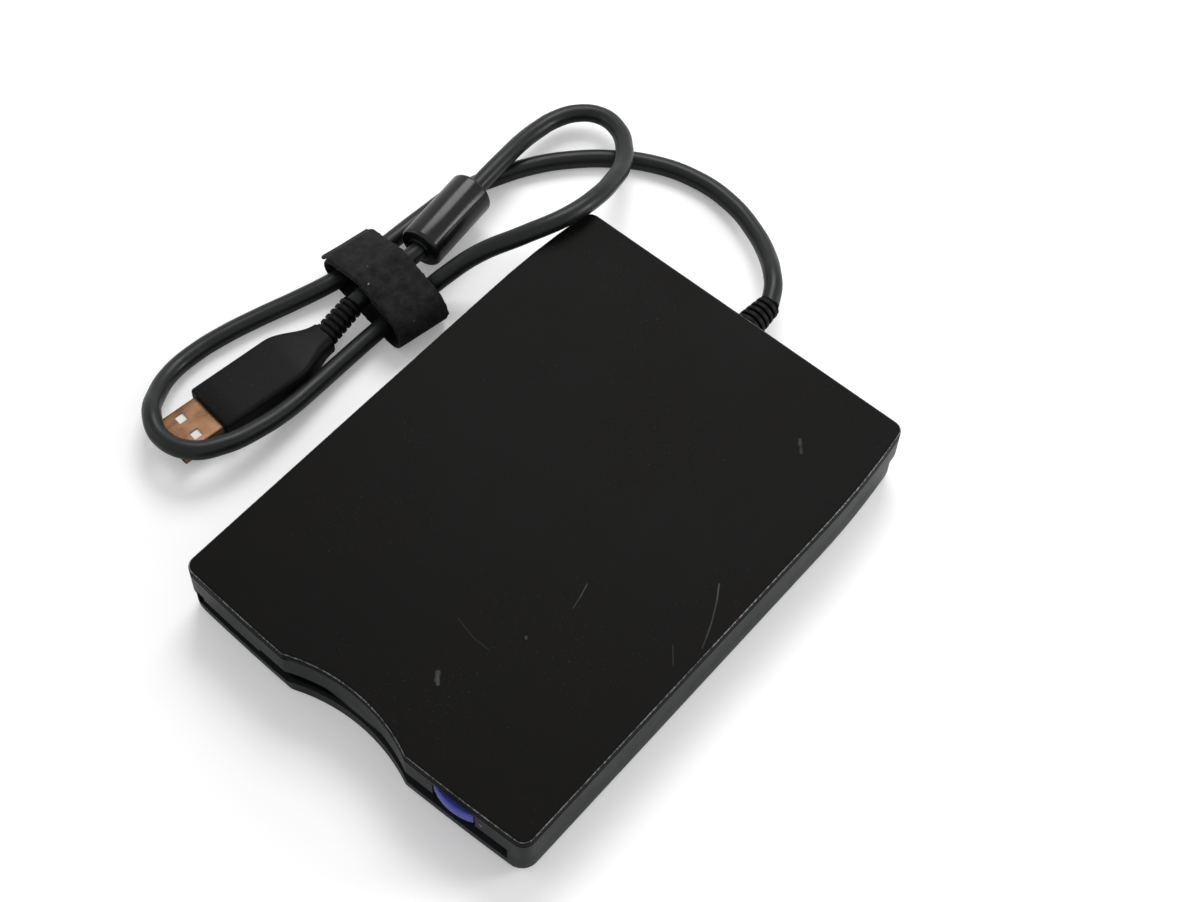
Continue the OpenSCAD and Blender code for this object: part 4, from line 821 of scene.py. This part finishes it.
FERRITE_R = 6.0
FERRITE_EDGE_R = 1.1
FERRITE_AT = 0.6
FERRITE_STEPS = 6
FERRITE_SIDES = 64
# The collar at each end: distance from the end and radius
FERRITE_COLLAR = ((0.0, 2.3), (0.0, 3.1), (0.15, 3.3), (0.5, 3.35), (0.55, 4.6))


def make_ferrite():
    """Ferrite core under its glossy moulding, with a short collar at each end."""
    length = (FERRITE_NEAR - FERRITE_FAR).length
    near = list(FERRITE_COLLAR)
    for k in range(FERRITE_STEPS + 1):
        a = math.pi / 2 * k / FERRITE_STEPS
        along = FERRITE_AT + FERRITE_EDGE_R * (1 - math.cos(a))
        near.append((along, FERRITE_R - FERRITE_EDGE_R * (1 - math.sin(a))))
    profile = near + [(length - t, w) for t, w in reversed(near)]
    bm = bmesh.new()
    turned(bm, FERRITE_FAR, FERRITE_NEAR, profile, FERRITE_SIDES)
    return add_piece("ferrite_core_shell", bm, "housing", "ferrite_black", ["ferrite_core"], sharp=40.0)


STRAP_TURN = math.radians(-10)
STRAP_AT = Vector((-78, 25, 0))
STRAP_W = 15.0
STRAP_T = 1.0
STRAP_CIRCLES = [(-11.6, 4.4, 3.3), (-0.5, 8.8, 3.0), (11.5, 5.4, 4.3)]
STRAP_LAP_Z = 6.0
STRAP_SLACK = 0.03
STRAP_STEP = 0.8
STRAP_ROUND = 72
STRAP_SEED = 7
# The lap over the top: its gap, how much thinner and narrower it is, and how its end turns down
LAP_GAP = 0.05
LAP_THINNER = 0.1
LAP_NARROWER = 0.4
LAP_END = ((0.7, 0.8), (1.4, 1.3))
# The tape: its rows across as shares of its width, its uneven edge and nap, and its thinner hems
TAPE_SHARES = (-0.5, -0.47, -0.3, -0.1, 0.1, 0.3, 0.47, 0.5)
TAPE_EDGE = 0.12
TAPE_NAP_SHARE = 0.1
TAPE_RISE_SHARE = 0.2
HEM_SHARE = 0.48
HEM_THIN_SHARE = 0.25


def hull_points(points):
    """Convex outline of points, anticlockwise."""
    points = sorted(points)

    def half(run):
        out = []
        for p in run:
            while len(out) > 1 and ((out[-1][0] - out[-2][0]) * (p[1] - out[-2][1])
                                    - (out[-1][1] - out[-2][1]) * (p[0] - out[-2][0])) <= 0:
                out.pop()
            out.append(p)
        return out[:-1]

    return half(points) + half(points[::-1])


WALK_SLACK = 1e-9


def evenly(points, step):
    """A closed outline walked in even steps."""
    points = [Vector(p) for p in points]
    loop = points + [points[0]]
    total = sum((b - a).length for a, b in zip(loop, loop[1:]))
    count = round(total / step)
    out = []
    walked, target = 0.0, 0.0
    for a, b in zip(loop, loop[1:]):
        span = (b - a).length
        while len(out) < count and target <= walked + span + WALK_SLACK:
            out.append(a.lerp(b, (target - walked) / span))
            target += total / count
        walked += span
    return out


def strap_outline(grow):
    points = []
    for x, z, r in STRAP_CIRCLES:
        for k in range(STRAP_ROUND):
            a = 2 * math.pi * k / STRAP_ROUND
            points.append((x + (r + grow) * math.cos(a), z + (r + grow) * math.sin(a)))
    return hull_points(points)


def tape(bm, inner, outer, width, closed, rng):
    """A band of brushed tape between an inner and an outer line, with soft, uneven edges."""
    turn = Matrix.Rotation(STRAP_TURN, 4, "Z")
    rings = []
    for a, b in zip(inner, outer):
        edge = TAPE_EDGE * rng.uniform(-1, 1)
        ring = []
        for share in TAPE_SHARES:
            thin = HEM_THIN_SHARE if abs(share) > HEM_SHARE else 0.0
            p = b.lerp(a, thin) + (b - a) * TAPE_NAP_SHARE * rng.uniform(-1, TAPE_RISE_SHARE)
            ring.append((p.x, share * width + edge, p.y))
        for share in reversed(TAPE_SHARES):
            thin = HEM_THIN_SHARE if abs(share) > HEM_SHARE else 0.0
            p = a.lerp(b, thin)
            ring.append((p.x, share * width + edge, p.y))
        rings.append([turn @ Vector(p) + STRAP_AT for p in ring])
    made = [[bm.verts.new(p) for p in ring] for ring in rings]
    for a, b in zip(made, made[1:]):
        ring_faces(bm, a, b)
    if closed:
        ring_faces(bm, made[-1], made[0])
    else:
        bm.faces.new(list(reversed(made[0])))
        bm.faces.new(made[-1])


def make_strap():
    """Hook-and-loop strap round the three strands, its end lapped over the top."""
    rng = random.Random(STRAP_SEED)
    inner = evenly(strap_outline(STRAP_SLACK), STRAP_STEP)
    bm = bmesh.new()
    outer = []
    for i, p in enumerate(inner):
        ahead = (inner[(i + 1) % len(inner)] - inner[i - 1]).normalized()
        outer.append(p + Vector((ahead.y, -ahead.x)) * STRAP_T)
    tape(bm, inner, outer, STRAP_W, True, rng)
    over = [p for p in evenly(strap_outline(STRAP_T + LAP_GAP), STRAP_STEP) if p.y > STRAP_LAP_Z]
    over.sort(key=lambda p: -p.x)
    tip = over[-1]
    over += [Vector((tip.x - past, tip.y - down)) for past, down in LAP_END]
    lap_outer = []
    for i, p in enumerate(over):
        ahead = (over[min(i + 1, len(over) - 1)] - over[max(i - 1, 0)]).normalized()
        lap_outer.append(p + Vector((ahead.y, -ahead.x)) * (STRAP_T - LAP_THINNER))
    tape(bm, over, lap_outer, STRAP_W - LAP_NARROWER, False, rng)
    return add_piece("cable_strap_tape", bm, "housing", "strap_black", ["cable_strap"], sharp=60.0)


PLUG_TURN = math.radians(-7)
PLUG_AT = Vector((-83.2, -30.7, 4.0))
PLUG_LEN = 35.5
GRIP_LEN = 22.0
GRIP_HALF_W = 7.5
GRIP_HALF_H = 4.0
GRIP_CORNER = 1.3
NECK_HALF_W = 4.0
NECK_HALF_H = 3.2
NECK_CORNER = 2.5
NECK_END_LEN = 0.3
GRIP_STEPS = 4
NECK_STEPS = 14
LEAST_FLAT = 0.01
# Softened faces: distance from the grip's face or the neck's end, and how far the sides stand out
GRIP_FACE = ((0.0, -0.55), (0.08, -0.3), (0.25, -0.12), (0.6, 0.0))
NECK_FACE = ((0.08, -0.12), (0.0, -0.4))


def plug_place():
    return Matrix.Translation(PLUG_AT) @ Matrix.Rotation(PLUG_TURN, 4, "Z")


def rounded_box(half_x, half_z, r, steps=6):
    """Points round a rectangle with rounded corners, in the XZ plane, anticlockwise from -Y."""
    r = min(r, half_x - LEAST_FLAT, half_z - LEAST_FLAT)
    out = []
    for cx, cz, a0 in ((1, -1, -90), (1, 1, 0), (-1, 1, 90), (-1, -1, 180)):
        for k in range(steps + 1):
            a = math.radians(a0 + 90 * k / steps)
            out.append((cx * (half_x - r) + r * math.cos(a), cz * (half_z - r) + r * math.sin(a)))
    return out


def make_plug():
    """Moulded grip of the plug, drawn in to a neck at the cable's end."""
    place = plug_place()
    stations = list(GRIP_FACE)
    straight = GRIP_FACE[-1][0]
    stations += [(straight + (GRIP_LEN - straight) * k / GRIP_STEPS, 0.0) for k in range(1, GRIP_STEPS + 1)]
    narrowing = PLUG_LEN - NECK_END_LEN - GRIP_LEN
    stations += [(GRIP_LEN + narrowing * k / NECK_STEPS, 0.0) for k in range(1, NECK_STEPS + 1)]
    stations += [(PLUG_LEN - back, grow) for back, grow in NECK_FACE]
    rings = []
    for y, grow in stations:
        share = max(0.0, (y - GRIP_LEN) / (PLUG_LEN - GRIP_LEN))
        ease = (1 - math.cos(math.pi * share)) / 2
        half_x = GRIP_HALF_W + (NECK_HALF_W - GRIP_HALF_W) * ease + grow
        half_z = GRIP_HALF_H + (NECK_HALF_H - GRIP_HALF_H) * ease + grow
        corner = GRIP_CORNER + (NECK_CORNER - GRIP_CORNER) * ease
        rings.append([place @ Vector((x, y, z)) for x, z in rounded_box(half_x, half_z, corner)])
    bm = bmesh.new()
    loft(bm, rings)
    return add_piece("plug_grip", bm, "housing", "plug_black", ["plug_body"], sharp=30.0)


RELIEF_ROOT_LEN = 1.0
RELIEF_ROOT_R = 3.0
RELIEF_R = 3.3
RELIEF_TIP_R = 3.1
RELIEF_RIBS = 6
RELIEF_DEPTH = 0.8
RELIEF_PLAIN_LEN = 0.4
RELIEF_IN = 2.3
# The relief's end: distance from it and radius
RELIEF_TIP = ((0.3, 2.9), (0.0, 2.8), (0.0, BORE_R))


def make_relief():
    """Ribbed strain relief between the plug and the cord."""
    length = (RELIEF_FAR - RELIEF_NEAR).length
    profile = [(0.0, RELIEF_IN), (0.0, RELIEF_ROOT_R), (RELIEF_ROOT_LEN, RELIEF_ROOT_R)]
    ribbed_len = length - RELIEF_ROOT_LEN - RELIEF_PLAIN_LEN
    for t, r in ribs(ribbed_len, RELIEF_R, RELIEF_TIP_R, RELIEF_RIBS, RELIEF_DEPTH):
        profile.append((RELIEF_ROOT_LEN + t, r))
    profile += [(length - back, r) for back, r in RELIEF_TIP]
    bm = bmesh.new()
    turned(bm, RELIEF_NEAR, RELIEF_FAR, profile)
    return add_piece("plug_relief_sleeve", bm, "housing", "plug_black", ["plug_relief"], sharp=50.0)


SHELL_HALF_W = 6.0
SHELL_HALF_H = 2.25
SHELL_LEN = 12.0
SHELL_T = 0.35
SHELL_R = 0.6
HOLE_X = 3.0
HOLE_Y = 6.2
HOLE_HALF = 1.2
SHELL_LEAST_R = 0.15
SHELL_FOLD_STEPS = 4
SHELL_LIP = 0.12
SHELL_LIP_LEN = 0.15
SHELL_GAP = 0.02
# The row of faces with the holes, and the spans round the shell that face one
HOLE_ROW = 2
HOLE_SPANS = (0, 2, 14, 16)


def make_shell():
    """Folded metal shell of the plug: rounded folds, two square holes on each broad side."""
    place = plug_place()
    cuts = [-HOLE_X - HOLE_HALF, -HOLE_X + HOLE_HALF, HOLE_X - HOLE_HALF, HOLE_X + HOLE_HALF]

    def section(inset):
        """Points round the shell with the holes' edges among them."""
        r = max(SHELL_R - inset, SHELL_LEAST_R)
        hx, hz = SHELL_HALF_W - inset, SHELL_HALF_H - inset
        points = []
        for cz, xs in ((-1, cuts), (1, cuts[::-1])):
            for x in xs:
                points.append((x, cz * hz))
            cx = 1 if cz < 0 else -1
            for a0, ez in ((-90, -1), (0, 1)) if cx > 0 else ((90, 1), (180, -1)):
                for k in range(SHELL_FOLD_STEPS + 1):
                    a = math.radians(a0 + 90 * k / SHELL_FOLD_STEPS)
                    points.append((cx * (hx - r) + r * math.cos(a), ez * (hz - r) + r * math.sin(a)))
        return points

    ys = [-SHELL_LEN, -SHELL_LEN + SHELL_LIP_LEN, -HOLE_Y - HOLE_HALF, -HOLE_Y + HOLE_HALF, -SHELL_GAP]
    outer_rings = [section(SHELL_LIP)] + [section(0.0)] * (len(ys) - 1)
    count = len(outer_rings[0])
    bm = bmesh.new()
    inner_rings = [section(SHELL_T)] * len(ys)
    outer, inner = [
        [[bm.verts.new(place @ Vector((x, y, z))) for x, z in ring] for y, ring in zip(ys, rings)]
        for rings in (outer_rings, inner_rings)
    ]
    for row in range(len(ys) - 1):
        for i in range(count):
            j = (i + 1) % count
            if row == HOLE_ROW and i in HOLE_SPANS:
                for end in (row, row + 1):
                    bm.faces.new((outer[end][i], outer[end][j], inner[end][j], inner[end][i]))
                for k in (i, j):
                    bm.faces.new((outer[row][k], outer[row + 1][k], inner[row + 1][k], inner[row][k]))
                continue
            bm.faces.new((outer[row][i], outer[row][j], outer[row + 1][j], outer[row + 1][i]))
            bm.faces.new((inner[row][j], inner[row][i], inner[row + 1][i], inner[row + 1][j]))
    ring_faces(bm, inner[0], outer[0])
    ring_faces(bm, outer[-1], inner[-1])
    return add_piece("usb_shell_metal", bm, "housing", "shell_metal", ["usb_shell"], sharp=30.0)


FOOT_X = 39.5
FOOT_Y = 55.7114
# A foot from its middle out: height and radius
FOOT_PROFILE = (
    (0.1, 0.4), (0.1, 3.2), (0.0, 3.4), (0.0, 4.6),
    (0.03, 4.82), (0.12, 4.95), (0.25, 5.0), (0.8, 5.0),
)


def make_feet():
    """Four rubber feet with softened rims."""
    bm = bmesh.new()
    for x in (-FOOT_X, FOOT_X):
        for y in (-FOOT_Y, FOOT_Y):
            centre = Vector((x, y, 0))
            turned(bm, centre, centre + UP, FOOT_PROFILE)
    return add_piece("rubber_feet_pads", bm, "housing", "foot_rubber", ["rubber_feet"], sharp=40.0)


# Studio, in metres and watts
FLOOR_HALF = 4.0
LIFT_NEAR = 0.35
LIFT_FAR = 1.6
LIFT_LOW = 0.22
LIFT_HIGH = 0.8
WORLD_LIGHT = 0.55
LIGHTS = (
    ("key", (-0.35, 0.55, 0.8), 0.5, 5.5),
    ("right", (0.38, 0.36, 0.2), 0.2, 1.4),
    ("front", (-0.65, -0.45, 0.3), 0.3, 0.5),
)


def make_stage():
    """A wide pale floor, white to the camera but for the object's shadow, and soft light."""
    mesh = bpy.data.meshes.new("floor")
    corners = [(sx * FLOOR_HALF, sy * FLOOR_HALF, 0) for sx, sy in ((-1, -1), (1, -1), (1, 1), (-1, 1))]
    mesh.from_pydata(corners, [], [(0, 1, 2, 3)])
    floor = bpy.data.objects.new("floor", mesh)
    bpy.context.scene.collection.objects.link(floor)
    made = bpy.data.materials.new("floor_white")
    made.use_nodes = True
    nodes, links = made.node_tree.nodes, made.node_tree.links
    shader = nodes["Principled BSDF"]
    place = nodes.new("ShaderNodeTexCoord")
    cloud = noise(nodes, links, place.outputs["Object"], 12.0)
    cloudy = spread(nodes, links, cloud, 0.35, 0.65)
    toned = blended(nodes, links, cloudy, rgb(0.84, 0.84, 0.84), rgb(0.88, 0.88, 0.88))
    links.new(toned, shader.inputs["Base Color"])
    shader.inputs["Roughness"].default_value = 0.6
    shader.inputs["Specular IOR Level"].default_value = 0.2
    shader.inputs["Emission Color"].default_value = (1, 1, 1, 1)
    path = nodes.new("ShaderNodeLightPath")
    away = nodes.new("ShaderNodeVectorMath")
    away.operation = "LENGTH"
    links.new(place.outputs["Object"], away.inputs[0])
    rising = spread(nodes, links, away.outputs["Value"], LIFT_NEAR, LIFT_FAR, LIFT_LOW, LIFT_HIGH)
    lift = maths(nodes, links, "MULTIPLY", path.outputs["Is Camera Ray"], rising)
    links.new(lift, shader.inputs["Emission Strength"])
    mesh.materials.append(made)

    world = bpy.data.worlds.new("studio")
    bpy.context.scene.world = world
    world.use_nodes = True
    nodes, links = world.node_tree.nodes, world.node_tree.links
    background = nodes["Background"]
    background.inputs["Color"].default_value = (1, 1, 1, 1)
    path = nodes.new("ShaderNodeLightPath")
    camera_ray, glossy_ray = path.outputs["Is Camera Ray"], path.outputs["Is Glossy Ray"]
    mirrored = maths(nodes, links, "MAXIMUM", glossy_ray, path.outputs["Is Transmission Ray"])
    seen = maths(nodes, links, "MAXIMUM", camera_ray, mirrored)
    links.new(spread(nodes, links, seen, 0.0, 1.0, WORLD_LIGHT, 1.0), background.inputs["Strength"])

    for name, at, size, power in LIGHTS:
        data = bpy.data.lights.new(name, "AREA")
        data.size = size
        data.energy = power
        lamp = bpy.data.objects.new(name, data)
        lamp.location = at
        lamp.rotation_mode = "QUATERNION"
        lamp.rotation_quaternion = Vector(at).to_track_quat("Z", "Y")
        bpy.context.scene.collection.objects.link(lamp)


bpy.context.scene.view_settings.view_transform = "Standard"
add_camera()
make_stage()
cord = make_cord()

slots = {part["node"]: part["material_slot"] for part in frame["record"]["subparts"]}
for node, shown in frame["nodes"].items():
    shown.data.materials.clear()
    shown.data.materials.append(MATERIALS[slots[node]])

make_top_plate()
eased_copy("upper_case_shell", "upper_case", "housing", "case_grey")
eased_copy("lower_case_shell", "lower_case", "housing", "case_lower_grey")
make_button()
gland = make_gland()
ferrite = make_ferrite()
strap = make_strap()
plug = make_plug()
relief = make_relief()
shell = make_shell()
make_feet()
